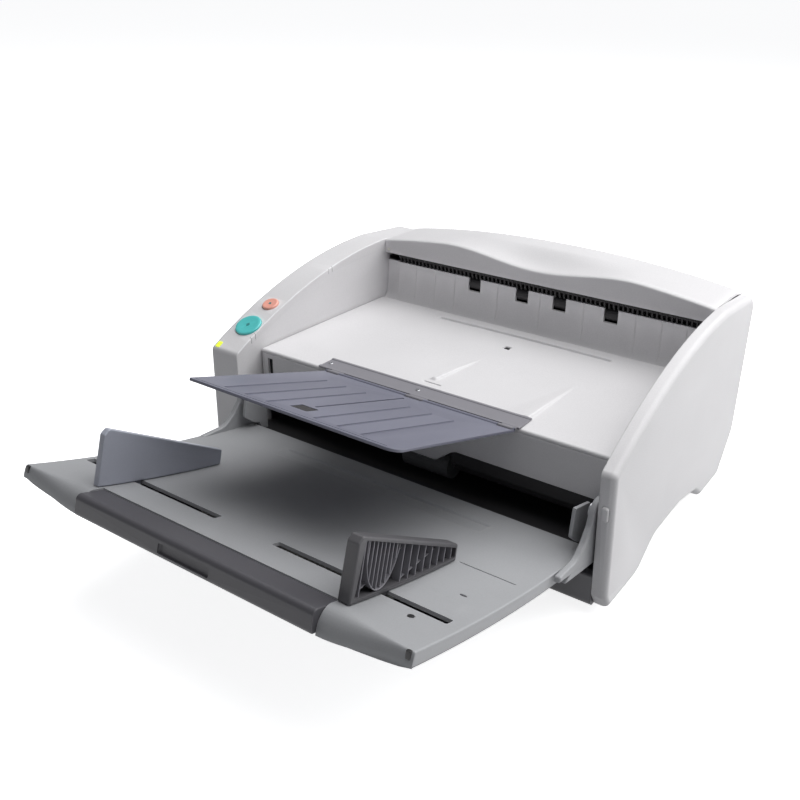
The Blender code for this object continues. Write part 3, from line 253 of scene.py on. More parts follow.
def circle_through(p, q, r):
    rows = [(2 * (b[0] - a[0]), 2 * (b[1] - a[1]), b[0] ** 2 - a[0] ** 2 + b[1] ** 2 - a[1] ** 2)
            for a, b in ((p, q), (p, r))]
    (a, b, e), (c, d, f) = rows
    span = a * d - b * c
    centre = ((e * d - b * f) / span, (a * f - e * c) / span)
    return centre, math.dist(centre, p)


def filleted(points, step=9.0):
    """Rounds each (a, b, radius) corner of a closed outline; (a, b) corners stay sharp."""
    outline = []
    for i, point in enumerate(points):
        corner = Vector(point[:2])
        before = (Vector(points[i - 1][:2]) - corner).normalized()
        after = (Vector(points[(i + 1) % len(points)][:2]) - corner).normalized()
        if len(point) == 2 or before.dot(after) < -0.9999:
            outline.append(tuple(corner))
            continue
        half = before.angle(after) / 2
        reach = point[2] / math.tan(half)
        centre = corner + (before + after).normalized() * point[2] / math.sin(half)
        first, last = corner + before * reach - centre, corner + after * reach - centre
        turn = first.angle_signed(last)
        steps = max(3, math.ceil(abs(math.degrees(turn)) / step))
        for k in range(steps + 1):
            spoke = first.copy()
            spoke.rotate(Matrix.Rotation(-turn * k / steps, 2))
            outline.append(tuple(centre + spoke))
    return outline


def inset(outline, distance):
    """The closed counter-clockwise outline moved inwards by a distance."""
    moved = []
    for i, point in enumerate(outline):
        here = Vector(point)
        into = (here - Vector(outline[i - 1])).normalized()
        out = (Vector(outline[(i + 1) % len(outline)]) - here).normalized()
        normal = (into + out).orthogonal().normalized()
        moved.append(tuple(here + normal * distance / max(0.3, normal.dot(into.orthogonal()))))
    return moved


def counter_clockwise(outline):
    area = sum(a[0] * b[1] - b[0] * a[1] for a, b in zip(outline, outline[1:] + outline[:1]))
    return outline if area > 0 else outline[::-1]


def resampled(points, step):
    """An open line with extra points so that no length is over step."""
    line = [points[0]]
    for a, b in zip(points, points[1:]):
        count = max(1, math.ceil(math.dist(a, b) / step))
        line += [tuple(a[k] + (b[k] - a[k]) * i / count for k in range(len(a))) for i in range(1, count + 1)]
    return line


# ------------------------------------------------------------------ meshes
def new_object(name, mesh):
    thing = bpy.data.objects.new(name, mesh)
    bpy.context.scene.collection.objects.link(thing)
    return thing


def raw(name, points, faces, where):
    """An object from points in one of the spaces."""
    mesh = bpy.data.meshes.new(name)
    mesh.from_pydata([where @ Vector(p) for p in points], [], faces)
    shape = bmesh.new()
    shape.from_mesh(mesh)
    bmesh.ops.recalc_face_normals(shape, faces=shape.faces)
    shape.to_mesh(mesh)
    shape.free()
    return new_object(name, mesh)


AXES = {"yz": lambda a, b, level: (level, a, b), "xz": lambda a, b, level: (a, level, b),
        "xy": lambda a, b, level: (a, b, level)}


def lofted(name, rings, where):
    """Rings of equal length joined one to the next, with flat ends."""
    count = len(rings[0])
    points = [p for ring in rings for p in ring]
    faces = [list(range(count))[::-1], list(range(len(points) - count, len(points)))]
    for r in range(len(rings) - 1):
        for i in range(count):
            j = (i + 1) % count
            faces.append([r * count + i, r * count + j, (r + 1) * count + j, (r + 1) * count + i])
    return raw(name, points, faces, where)


def rim(low, high, low_radius, high_radius, steps=4):
    """(level, inset) pairs of a block whose two rims are rounded."""
    levels = []
    for end, radius, way in ((low, low_radius, 1), (high, high_radius, -1)):
        side = [(end + way * radius * (1 - math.cos(k / steps * math.pi / 2)),
                 radius * (1 - math.sin(k / steps * math.pi / 2))) for k in range(steps + 1)]
        if radius == 0:
            side = [(end, 0.0)]
        levels += side if way > 0 else side[::-1]
    return levels


def block(name, outline, low, high, where, plane="yz", low_radius=0.5, high_radius=0.5, steps=3):
    """An outline extruded from low to high with rounded rims."""
    outline = counter_clockwise(outline)
    rings = [[AXES[plane](a, b, level) for a, b in (inset(outline, d) if d else outline)]
             for level, d in rim(low, high, low_radius, high_radius, steps)]
    return lofted(name, rings, where)


def bar(name, low, high, where, radius=0.4):
    """A box with rounded edges on all sides."""
    (x0, y0, z0), (x1, y1, z1) = low, high
    corner = min(radius * 1.2, (x1 - x0) / 2.1, (y1 - y0) / 2.1)
    outline = filleted([(x0, y0, corner), (x1, y0, corner), (x1, y1, corner), (x0, y1, corner)], 30)
    return block(name, outline, z0, z1, where, "xy", radius * 0.8, radius * 0.8, 2)


def slab(name, xs, ys, top, bottom, where, shaped_below=False):
    """A solid with a shaped top over a grid, and a plain or a shaped underside."""
    columns, rows = len(xs), len(ys)
    points = [(x, y, top(x, y)) for y in ys for x in xs]
    faces = [[r * columns + c, r * columns + c + 1, (r + 1) * columns + c + 1, (r + 1) * columns + c]
             for r in range(rows - 1) for c in range(columns - 1)]
    edge = ([c for c in range(columns)] + [r * columns + columns - 1 for r in range(1, rows)]
            + [(rows - 1) * columns + c for c in range(columns - 2, -1, -1)]
            + [r * columns for r in range(rows - 2, 0, -1)])
    start, count = len(points), len(edge)
    if shaped_below:
        points += [(x, y, bottom(x, y)) for y in ys for x in xs]
        faces += [[start + i for i in face[::-1]] for face in faces]
        faces += [[edge[i], start + edge[i], start + edge[(i + 1) % count], edge[(i + 1) % count]]
                  for i in range(count)]
        return raw(name, points, faces, where)
    points += [(points[i][0], points[i][1], bottom(points[i][0], points[i][1])) for i in edge]
    faces += [[edge[i], start + i, start + (i + 1) % count, edge[(i + 1) % count]] for i in range(count)]
    faces.append([start + i for i in range(count)])
    return raw(name, points, faces, where)


def lathe(name, profile, where, steps=48):
    """(radius, height) corners turned about the space's own upright axis."""
    rings = [[(r * math.cos(2 * math.pi * k / steps), r * math.sin(2 * math.pi * k / steps), z)
              for k in range(steps)] for r, z in profile]
    return lofted(name, rings, where)


def carve(thing, *tools, operation="DIFFERENCE"):
    """Cuts tools out of a thing, or joins them to it, at once, and removes them."""
    for tool in tools:
        modifier = thing.modifiers.new("carve", "BOOLEAN")
        modifier.operation = operation
        modifier.object = tool
        modifier.solver = "EXACT"
    depsgraph = bpy.context.evaluated_depsgraph_get()
    mesh = bpy.data.meshes.new_from_object(thing.evaluated_get(depsgraph))
    thing.modifiers.clear()
    thing.data = mesh
    for tool in tools:
        bpy.data.objects.remove(tool)
    return thing


def joined_solids(name, things):
    """Several solids as one mesh."""
    shape = bmesh.new()
    for thing in things:
        shape.from_mesh(thing.data)
        bpy.data.objects.remove(thing)
    mesh = bpy.data.meshes.new(name)
    shape.to_mesh(mesh)
    shape.free()
    return new_object(name, mesh)


def shown(thing, material, body, slot, *nodes, angle=32.0, weighted=True):
    """Finishes a piece: material, shading, the body it rides on and the nodes it stands for."""
    thing.data.materials.clear()
    thing.data.materials.append(material)
    thing.data.shade_smooth()
    thing.data.set_sharp_from_angle(angle=math.radians(angle))
    if weighted:
        normals = thing.modifiers.new("even shading", "WEIGHTED_NORMAL")
        normals.keep_sharp = True
        normals.weight = 80
    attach(thing, body)
    if nodes:
        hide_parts(*nodes)
    return thing


# ------------------------------------------------------------------ side covers
ARC_CENTRE, ARC_RADIUS = circle_through(ARC_START, ARC_MIDDLE, ARC_END)


def arc_height(y):
    return ARC_CENTRE[1] + math.sqrt(ARC_RADIUS ** 2 - (y - ARC_CENTRE[0]) ** 2)


def side_silhouette():
    bottom = [(250, 7.5, 9), (204, 7.5, 7), (188, 20, 12), (150, 27, 40), (95, 25, 30),
              (68, 9, 8), (60, 7.5, 4), (12, 7.5, 5)]
    front = [(PILLAR_FRONT, 20, 8), (PILLAR_FRONT, 121, 6)]
    top = [(y, arc_height(y)) for y in range(18, 200, 7)]
    back = [(ARC_END[0], ARC_END[1], 60), (REAR, 170.5, 13), (281, 42, 22)]
    return counter_clockwise(filleted(bottom + front + top + back, 6.0))


SILHOUETTE = side_silhouette()
PLATE_WINDOW = [(44, 33), (202, 33), (202, 16), (245, 16), (262, 33), (292, 158), (231, 158), (231, 104),
                (44, 104)]


def side_cover(name, outer, inner, extra=()):
    low, high = sorted((outer, inner))
    way = math.copysign(1, outer)
    radii = (5.0, 1.0) if outer < inner else (1.0, 5.0)
    cover = block(name, SILHOUETTE, low, high, BODY, "yz", *radii, steps=6)
    hollow = block("hollow", inset(SILHOUETTE, 3.0), *sorted((outer - way * 3.0, inner + way * 3.0)), BODY,
                   "yz", 0, 0)
    window = block("window", PLATE_WINDOW, *sorted((inner - way * 2, inner + way * 4)), BODY, "yz", 0, 0)
    carve(cover, hollow, window, *extra)
    return cover


def arm_frame(x, y):
    """A space whose floor is the control arm's top at a depth y."""
    height = arc_height(y)
    slope = math.atan2(ARC_CENTRE[0] - y, height - ARC_CENTRE[1])
    return space(BODY @ Vector((x, y, height)), slope)


START, STOP, LAMP_PLACE = arm_frame(-179.5, 35.5), arm_frame(-179.0, 64.5), arm_frame(-192.0, 10)
bores = [lathe("start_bore", [(12.6, -8), (12.6, 6)], START), lathe("stop_bore", [(8.1, -8), (8.1, 6)], STOP),
         bar("lamp_hole", (-2.7, -3.3, -6), (2.7, 3.3, 5), LAMP_PLACE, 0.3)]
for y in (27.0, 135.0):
    for offset in (-2.6, 2.6):
        top = arc_height(y + offset)
        bores.append(bar("latch_line", (ARM_INNER - 1.6, y + offset - 0.35, top - 5.5),
                         (ARM_INNER + 1.0, y + offset + 0.35, top + 2.0), BODY, 0.1))
shown(side_cover("left_cover_shell", -HALF_WIDTH, ARM_INNER, bores), COVER, "chassis", "cover", "left_cover")
release_hole = block("release_hole", filleted([(190, 83.7, 2.4), (196, 83.7, 2.4), (196, 96.3, 2.4),
                     (190, 96.3, 2.4)]), 0, 20, BODY, "xz", 0, 0)
shown(side_cover("right_cover_shell", HALF_WIDTH, WALL_INNER, [release_hole]), COVER, "chassis", "cover",
      "right_cover")
shown(block("release_button_cap", filleted([(190.3, 84, 2.2), (195.7, 84, 2.2), (195.7, 96, 2.2),
      (190.3, 96, 2.2)]), PILLAR_FRONT - 2.0, PILLAR_FRONT + 5, BODY, "xz", 1.4, 0.2), COVER,
      "release_button", "tray", "release_button")


# ------------------------------------------------------------------ buttons and lamp
def button(name, place, radius, material, slot, icon):
    cap = [(radius, -1.2), (radius, 1.0), (radius - 0.3, 1.45), (radius - 1.0, 1.75), (radius * 0.8, 1.9),
           (radius * 0.74, 1.72), (radius * 0.35, 1.6), (0.02, 1.58)]
    stem = [(0.02, -7.8), (2.5, -7.8), (2.5, -2.6), (radius - 3, -2.6)]
    shown(lathe(f"{name}_cap", stem + cap, place), material, name, slot, name, angle=50.0)
    shown(block(f"{name}_icon", icon, 1.3, 1.85, place, "xy", 0, 0.1, 2), ICON_INK, name, slot)


button("start_button", START, 12.3, START_PLASTIC, "start", [(0, -2.4), (2.0, 0), (0, 2.4), (-2.0, 0)])
button("stop_button", STOP, 7.8, STOP_PLASTIC, "stop", [(-1.1, -1.1), (1.1, -1.1), (1.1, 1.1), (-1.1, 1.1)])
shown(bar("lamp_window", (-2.4, -3.0, -3.0), (2.4, 3.0, 0.45), LAMP_PLACE, 0.5), LAMP, "chassis", "lamp",
      "lamp_lens")


# ------------------------------------------------------------------ hood
HOOD_FRONT, HOOD_LIP, HOOD_SIDE_TOP, HOOD_CROWN = 223.0, 162.5, 177.0, 13.5
SCOOP_MIDDLE, SCOOP_HALF_WIDTH, SCOOP_DEPTH = 12.0, 108.0, 13.0


def crown(x):
    share = (x - PATH_CENTRE) / (WALL_INNER - PATH_CENTRE)
    return HOOD_CROWN * (1 - abs(share) ** 2.2)


def scoop(x):
    share = (x - SCOOP_MIDDLE) / SCOOP_HALF_WIDTH
    return SCOOP_DEPTH * math.cos(share * math.pi / 2) ** 2 if abs(share) < 1 else 0.0


def hood_section(x):
    """A closed slice of the hood: its outer line from the front lip to the back, then its inner line."""
    top = HOOD_SIDE_TOP + crown(x)
    edge = top - 2.5 - scoop(x)
    line = [(HOOD_FRONT + 2.0, HOOD_LIP), (HOOD_FRONT + 1.4, HOOD_LIP + 0.5),
            (HOOD_FRONT + 0.6, HOOD_LIP + 5), (HOOD_FRONT, edge - 0.6), (HOOD_FRONT + 0.3, edge + 0.4),
            (HOOD_FRONT + 1.0, edge + 1.1)]
    for k in range(1, 13):
        reach = 36 * k / 12
        dish = scoop(x) * math.cos(reach / 36 * math.pi / 2) ** 1.4
        line.append((HOOD_FRONT + 1.0 + reach, top - 0.5 - dish))
    line += [(268, top - 0.7), (276, top - 1.2), (283, top - 2.0), (289, top - 3.4)]
    low = (299.8, top - 15 - crown(x) * 0.6)
    for k in range(1, 7):
        turn = k / 6 * math.pi / 2
        line.append((289 + (low[0] - 289) * math.sin(turn), low[1] + (top - 3.4 - low[1]) * math.cos(turn)))
    line.append((299.2, 157.5))
    inner = []
    for i, point in enumerate(line):
        here = Vector(point)
        into = (here - Vector(line[i - 1])).normalized() if i else None
        out = (Vector(line[i + 1]) - here).normalized() if i + 1 < len(line) else None
        into, out = into or out, out or into
        normal = (into + out).orthogonal().normalized()
        inner.append(tuple(here - normal * 2.6))
    return [(x, y, z) for y, z in line + inner[::-1]]


hood_left, hood_right = ARM_INNER + 0.3, WALL_INNER - 0.3
hood = lofted("top_hood_shell", [hood_section(hood_left + (hood_right - hood_left) * i / 72)
                                 for i in range(73)], BODY)
shown(hood, COVER, "chassis", "cover", "top_hood", angle=40.0, weighted=False)
for i, x in enumerate((ARM_INNER + 4.5, WALL_INNER - 4.5)):
    stud = space(BODY @ Vector((x, HOOD_FRONT + 0.4, HOOD_LIP + 4.2)), math.radians(90))
    shown(lathe(f"hood_stud_{i}", [(0.02, -1.0), (1.5, -1.0), (1.5, 0.5), (1.1, 0.9), (0.02, 1.0)], stud, 20),
          GEAR, "chassis", "cover")

# ------------------------------------------------------------------ stacking wall and comb
STACK_LINE = [(218.3, 112.8), (219.4, 113.3), (220.5, 114.2), (221.6, 115.4), (222.6, 117), (223.5, 118.9),
              (224.2, 121), (224.9, 123.9), (225.4, 127), (225.8, 133), (226.3, 140), (227, 154)]


WALL_JOINTS = (-128.0, -104.0, -80.0, -30.0, 17.0, 63.0, 115.0, 140.0, 163.0)


def wall_relief(x):
    """How far the wall's face stands back at x: shallow joints between its panels."""
    near = min(abs(x - joint) for joint in WALL_JOINTS)
    step = 1.6 if x < -150 else 0.0
    return step + (0.45 if near < 0.5 else 0.0)


wall_places = {round(place[0], 2) for place in resampled([(ARM_INNER + 0.3,), (WALL_INNER - 0.3,)], 6.0)}
wall_places |= {joint + side for joint in WALL_JOINTS for side in (-0.9, -0.45, 0.45, 0.9)}
wall_places |= {-150.6, -150.1, -149.6}
sections = []
for x in sorted(wall_places):
    front = [(x, y + wall_relief(x) * min(1, (z - 112) / 6), z) for y, z in STACK_LINE]
    back = [(x, y + 2.9 + max(0, wall_relief(x) - 0.5), z) for y, z in STACK_LINE]
    sections.append(front + back[::-1])
stack_wall = lofted("stacking_wall_panel", sections, BODY)
carve(stack_wall, *[bar("window", (x - 7, 212, 140.5), (x + 7, 242, 162), BODY, 0.6) for x in WINDOWS])
shown(stack_wall, COVER, "chassis", "cover", "stacking_wall", angle=28.0)

comb = bar("comb_rail", (-150, 226.4, 159.2), (183, 230.2, 166.5), BODY, 0.5)
teeth = []
for i in range(71):
    x = -147.5 + 4.62 * i
    outline = filleted([(226.0, 161), (229.8, 161), (229.8, 156.4), (228.9, 153.6, 0.6), (227.7, 153.6, 0.4),
                        (226.0, 157)], 40)
    teeth.append(block("tooth", outline, x - 0.95, x + 0.95, BODY, "yz", 0.2, 0.2, 1))
shown(joined_solids("exit_comb_strip", [comb, *teeth]), BLACK, "chassis", "dark", "exit_comb")

# ------------------------------------------------------------------ output floor
FLOOR_SPAN = FLOOR_REAR - FLOOR_FRONT


def ease(value):
    value = max(0.0, min(1.0, value))
    return value * value * (3 - 2 * value)


def along(x, v, start, end):
    """Share of the way along a line, and distance to its right, of a floor point."""
    (x0, v0), (x1, v1) = start, end
    length = math.dist(start, end)
    dx, dv = (x1 - x0) / length, (v1 - v0) / length
    return ((x - x0) * dx + (v - v0) * dv) / length, (x - x0) * dv - (v - v0) * dx


def floor_top(x, y):
    v = y - FLOOR_FRONT
    height = FLOOR_TOP_FRONT + (FLOOR_TOP_REAR - FLOOR_TOP_FRONT) * v / FLOOR_SPAN
    # long shallow channel near the back
    bow = 164.5 + 1.2 * (1 - ((x - 12) / 93) ** 2)
    end = max(0.0, abs(x - 12.5) - 90.5)
    height -= 2.0 * ease((3.1 - math.hypot(end, v - bow)) / 0.6)
    # small hole
    height -= 2.2 * ease((3.0 - max(abs(x - 15) * 0.8, abs(v - 135))) / 0.5)
    height += 0.35 * ease((5.0 - math.hypot(x - 15, v - 135)) / 1.2)
    # fin that grows towards the front
    share, side = along(x, v, (11.5, 112), (1.0, 38))
    if 0 < share < 1:
        height += 2.0 * ease(share * 1.1) * ease((1.1 + 2.6 * share - abs(side)) / 1.6)
    elif 1 <= share < 1.05:
        height += 2.0 * ease((1.05 - share) / 0.05) * ease((3.7 - abs(side)) / 1.6)
    # slot in front of it
    height -= 1.4 * ease((1.0 - abs(v - 30)) / 0.4) * ease((9.0 - abs(x - 3.5)) / 0.6)
    # step that fades out towards the back
    share, side = along(x, v, (104.5, 112), (104.0, -1))
    if share > 0:
        depth = 2.2 * ease(share * 1.2)
        height += depth * ease((side + 0.4) / 1.2) * ease((34 * share - side) / (1 + 30 * share))
    # flat bed under the flap's hinge strip
    if v < 19 and STRIP_LEFT - 0.4 < x < STRIP_RIGHT + 0.4:
        height = min(height, 117.85)
    # rounded edges
    for edge, radius in ((v, 2.2), (x - UNIT_LEFT, 0.8), (UNIT_RIGHT - x, 0.8)):
        if edge < radius:
            height -= radius - math.sqrt(max(0.0, radius ** 2 - (radius - edge) ** 2))
    return height


def ladder(low, high, step, *near):
    """Grid places at a step, closer together at both ends, with any further places."""
    close = [low + d for d in (0.0, 0.15, 0.4, 0.8, 1.4)] + [high - d for d in (0.0, 0.15, 0.4, 0.8, 1.4)]
    count = int((high - low - 4) / step)
    close += [low + 2 + (high - low - 4) * i / count for i in range(count + 1)] + list(near)
    return sorted(set(round(value, 3) for value in close))


floor_panel = slab("output_floor_panel", ladder(UNIT_LEFT, UNIT_RIGHT, 1.0),
                   ladder(FLOOR_FRONT, FLOOR_REAR, 1.0, FLOOR_FRONT + 29.2, FLOOR_FRONT + 30.8,
                          *[FLOOR_FRONT + 160 + 0.35 * k for k in range(27)]), floor_top,
                   lambda x, y: FLOOR_TOP_FRONT - 2.6 - 1.8 * (y - FLOOR_FRONT) / FLOOR_SPAN, BODY)
shown(floor_panel, COVER, "upper_unit", "cover", "output_floor", angle=50.0, weighted=False)
# Black insert in the floor's small hole: painted shade in the hole's depth.
floor_hole_shade_outline = filleted([(12.4, 168.6, 1.2), (17.4, 168.0, 1.2), (17.8, 171.6, 1.2), (13.0, 172.2, 1.2)], 20)
shown(block("floor_hole_painted_shade", floor_hole_shade_outline, 114.0, 116.3, BODY, "xy", 0, 0.2, 2), BLACK, "upper_unit", "cover")

# ------------------------------------------------------------------ upper front panel
PANEL_LOW, BULGE_LOW = 78.5, 65.0
panel = filleted([(UNIT_LEFT, PANEL_LOW), (-26, PANEL_LOW, 14), (-9, BULGE_LOW, 8), (28, BULGE_LOW, 8),
                  (45, PANEL_LOW, 14), (UNIT_RIGHT, PANEL_LOW), (UNIT_RIGHT, 114.6), (UNIT_LEFT, 114.6)], 8)
front_panel = block("upper_front_panel_shell", panel, FLOOR_FRONT, FLOOR_FRONT + 3, BODY, "xz", 1.4, 0.3, 4)
carve(front_panel, bar("panel_slot", (-157.5, 30, 84), (-151.5, 45, 110), BODY, 0.5))
shown(front_panel, COVER, "upper_unit", "cover", "upper_front_panel")

# ------------------------------------------------------------------ flap hinge strip and flap
KNUCKLES = ((-79.0, -66.0), (4.0, 21.0), (91.0, 104.0))
KNUCKLE_PIVOT, KNUCKLE_RADIUS, PIN_HOLE = (27.4, 120.2), 1.8, 1.05
strip_section = filleted([(33.6, 117.95), (54, 117.95), (54, 119.55, 0.6), (51.6, 119.55, 0.5),
                          (51.0, 118.9, 0.3), (37.5, 118.9, 0.3), (36.8, 119.5, 0.3), (33.6, 119.5, 0.5)], 30)
strip = block("hinge_strip_bar", strip_section, STRIP_LEFT, STRIP_RIGHT, BODY, "yz", 0.3, 0.3, 1)
tools = []
for x0, x1 in KNUCKLES:
    leaf = [(27.4, 118.45), (34.2, 118.45), (34.2, 119.35), (27.4, 119.35)]
    tools.append(block("leaf", filleted(leaf, 30), x0, x1, BODY, "yz", 0.1, 0.1, 1))
    tools.append(block("knuckle", arc(KNUCKLE_PIVOT, KNUCKLE_RADIUS, 0, 345, 23), x0, x1, BODY, "yz",
                       0.3, 0.3, 2))
carve(strip, *tools, operation="UNION")
carve(strip, block("bore", arc(KNUCKLE_PIVOT, PIN_HOLE, 0, 330, 11), -100, 110, BODY, "yz", 0, 0))
shown(strip, STRIP_PLASTIC, "upper_unit", "cover", "flap_hinge_strip")
screw_head = [(0.02, -0.4), (1.9, -0.4), (1.9, 0.3), (1.5, 0.6), (0.9, 0.65), (0.8, 0.3), (0.02, 0.3)]
for i, x in enumerate((-89.5, 4.0)):
    screw = space(BODY @ Vector((x, 44.0, 118.9)))
    shown(lathe(f"strip_screw_{i}", screw_head, screw, 24), STEEL, "upper_unit", "steel")

FLAP_GROOVES = (-52.0, -32.0, -12.0, 31.0, 51.0, 71.0)
flap = block("eject_flap_panel", filleted([(FLAP_LEFT, -FLAP_LENGTH, 2), (FLAP_RIGHT, -FLAP_LENGTH, 9),
             (FLAP_RIGHT, -1.4), (FLAP_LEFT, -1.4)], 9), -1.9, 0.3, FLAP, "xy", 0.5, 0.5, 3)
carve(flap, block("barrel", arc((0, 0), KNUCKLE_RADIUS, 0, 345, 23), FLAP_LEFT, FLAP_RIGHT, FLAP, "yz",
                  0.3, 0.3, 2),
      operation="UNION")
tools = [block("bore", arc((0, 0), PIN_HOLE, 0, 330, 11), -100, 120, FLAP, "yz", 0, 0),
         bar("stopper_opening", (1.7, -140.3, -6), (17.3, -126.7, 6), FLAP, 0.8)]
for x0, x1 in KNUCKLES:
    tools.append(bar("knuckle_notch", (x0 - 0.3, -4.2, -6), (x1 + 0.3, 6, 6), FLAP, 0.2))
for x in FLAP_GROOVES:
    groove = [(x - 0.55, -35), (x - 0.9, -148), (x, -150), (x + 0.9, -148), (x + 0.55, -35), (x, -33)]
    tools.append(block("groove", groove, -0.45, 2, FLAP, "xy", 0.3, 0, 2))
tools.append(bar("channel", (8.9, -122, -1.2), (11.1, -12, 3), FLAP, 0.3))
tools.append(bar("front_line", (FLAP_LEFT + 4, -FLAP_LENGTH + 3.0, -0.1),
                 (FLAP_RIGHT - 10, -FLAP_LENGTH + 3.8, 2), FLAP, 0.2))
carve(flap, *tools)
shown(flap, FLAP_PLASTIC, "eject_flap", "flap", "eject_flap")
beads = [bar("bead", (x + 1.3, -149, 0.1), (x + 2.2, -36, 0.62), FLAP, 0.4) for x in FLAP_GROOVES]
shown(joined_solids("flap_beads", beads), FLAP_PLASTIC, "eject_flap", "flap")


# ------------------------------------------------------------------ feed tray
TRAY_MIDDLE, TRAY_HALF = (TRAY_FRONT + TRAY_REAR) / 2, (TRAY_REAR - TRAY_FRONT) / 2
SKIN, SKIRT = 2.6, 8.5


def surface(y):
    return TRAY_FACE - TRAY_SAG * (1 - ((y - TRAY_MIDDLE) / TRAY_HALF) ** 2)


def crease(x):
    """Where the paper surface starts to turn down into the front face."""
    past, whole = (NOTCH_LEFT - x, NOTCH_LEFT - TRAY_LEFT) if x <= 0 else (x - NOTCH_RIGHT,
                                                                         TRAY_RIGHT - NOTCH_RIGHT)
    return -208.0 - 9.5 * ease(past / whole)


def roll(x, y):
    """How far the tray's rounded front has fallen below the surface."""
    outer = max(x - NOTCH_RIGHT, NOTCH_LEFT - x) / (TRAY_RIGHT - NOTCH_RIGHT)
    drop = 7.0 + 8.0 * (1 - ease(outer))
    share = max(0.0, min(1.0, (crease(x) - y) / (crease(x) - TRAY_FRONT)))
    return drop * (1 - math.sqrt(1 - share ** 2))


def tray_surface(x, y):
    height = surface(y) - roll(x, y)
    # thin joint line, small dimple and hole on the right half
    height -= 0.9 * ease((0.75 - abs(y + 85)) / 0.3) * ease((22 - abs(x - 147)) / 0.6)
    height -= 0.5 * ease((1.4 - math.hypot((x - 154.6) * 0.45, y + 127.4)) / 0.7)
    height -= 2.0 * ease((2.3 - abs(x - 151) * 0.8 - abs(y + 181)) / 0.7)
    # faint pads beside the guides' slots
    height += 0.35 * ease((10 - abs(y + 148)) / 5) * ease((22 - abs(x - 146)) / 5)
    # relief under the folded flap's hinge
    height -= 1.4 * ease((8.0 - abs(y + 22)) / 1.0) * ease((102.5 - abs(x - 5.5)) / 1.0)
    for edge, radius in ((x - TRAY_LEFT, 1.0), (TRAY_RIGHT - x, 1.0), (TRAY_REAR - y, 1.0)):
        if edge < radius:
            height -= radius - math.sqrt(max(0.0, radius ** 2 - (radius - edge) ** 2))
    return height


def tray_underside(x, y):
    """The skin's underside, deeper along the outer walls and round the extension's notch."""
    walls = [x - TRAY_LEFT, TRAY_RIGHT - x, TRAY_REAR - y]
    outside = max(y - NOTCH_REAR, NOTCH_LEFT - x, x - NOTCH_RIGHT)
    depth = SKIRT if min(*walls, max(0.0, outside)) < SKIN + 0.05 else SKIN
    return surface(y) - max(depth, SKIN + roll(x, y))


WALL_STEP = 0.12
wall_columns = [edge + side for side in (0.0, WALL_STEP)
                for edge in (TRAY_LEFT + SKIN, TRAY_RIGHT - SKIN, NOTCH_LEFT - SKIN, NOTCH_RIGHT + SKIN)]
wall_rows = [edge + side for edge in (TRAY_REAR - SKIN, NOTCH_REAR + SKIN) for side in (0.0, WALL_STEP)]
tray = slab("tray_top_panel", ladder(TRAY_LEFT, TRAY_RIGHT, 1.6, *wall_columns),
            ladder(TRAY_FRONT, TRAY_REAR, 1.6, *wall_rows, -85.8, -85.5, -85.2, -85, -84.8, -84.5, -84.2,
                   *[TRAY_FRONT + k for k in (0.05, 0.25, 0.6, 1.1, 2.5, 3.2, 4, 5, 6, 7, 8, 9, 10, 11)]),
            tray_surface, tray_underside, TRAY, shaped_below=True)
carve(tray, bar("notch", (NOTCH_LEFT, -240, -70), (NOTCH_RIGHT, NOTCH_REAR, -20), TRAY, 0.3),
      bar("slot_right", (32, RACK_LINE - 4, -50), (170, RACK_LINE + 4, -25), TRAY, 1.2),
      bar("slot_left", (-159, RACK_LINE - 4, -50), (-21, RACK_LINE + 4, -25), TRAY, 1.2))
shown(tray, TRAY_PLASTIC, "feed_tray", "tray", "tray_top", angle=38.0, weighted=False)

# Black disc in the tray's small hole: painted shade in the hole's depth.
tray_hole_shade_outline = arc((151, -181), 2.2, 0, 345, 23)
shown(block("tray_hole_painted_shade", tray_hole_shade_outline, surface(-181) - 2, surface(-181) + 0.25, TRAY, "xy", 0, 0.2, 2), BLACK,
      "feed_tray", "tray")
rivet = [(154.6 + 2.6 * math.cos(k * math.pi / 10), -127.4 + 0.9 * math.sin(k * math.pi / 10))
         for k in range(20)]
shown(block("tray_rivet", rivet, surface(-127.4) - 2, surface(-127.4) + 0.22, TRAY, "xy", 0, 0.2, 2), BASE,
      "feed_tray", "tray")
for side, x in (("left", TRAY_LEFT + 3.6), ("right", TRAY_RIGHT - 3.6)):
    height = surface(TRAY_FRONT)
    shown(bar(f"tray_catch_{side}", (x - 1.7, TRAY_FRONT - 0.5, height - 5.5),
              (x + 1.7, TRAY_FRONT + 2.2, height - 0.3), TRAY, 0.6), BLACK, "feed_tray", "tray")

for side, x0, x1 in (("left", TRAY_LEFT, TRAY_LEFT + 5), ("right", EAR_RIGHT - 5, EAR_RIGHT)):
    horn = filleted([(-52, surface(-52) - 3.5), (7, surface(7) - 4.2), (9.2, -24, 6), (11.4, -4, 6)]
                    + arc((0, 0), 11.5, 0, 178, 14) + [(-12.6, -8, 8), (-18, -19, 16), (-27, -29.2, 16),
                                                       (-52, surface(-52) + 0.5, 1.9)], 10)
    ear = block(f"tray_ear_{side}", horn, x0, x1, TRAY, "yz", 1.3, 1.3, 4)
    carve(ear, block("bore", arc((0, 0), 3.3, 0, 345, 23), x0 - 3, x1 + 3, TRAY, "yz", 0, 0))
    shown(ear, TRAY_PLASTIC, "feed_tray", "tray")
wing = [(y, surface(y) - SKIRT + 0.4) for y in range(-40, 10, 7)] + [(9, surface(9) - 0.5, 1.0)]
wing += [(y, surface(y) - 0.5) for y in range(2, -36, -7)]
shown(block("tray_wing", filleted(wing, 30), TRAY_RIGHT - 0.6, EAR_RIGHT - 0.2, TRAY, "yz", 0.1, 1.2, 3),
      TRAY_PLASTIC, "feed_tray", "tray")


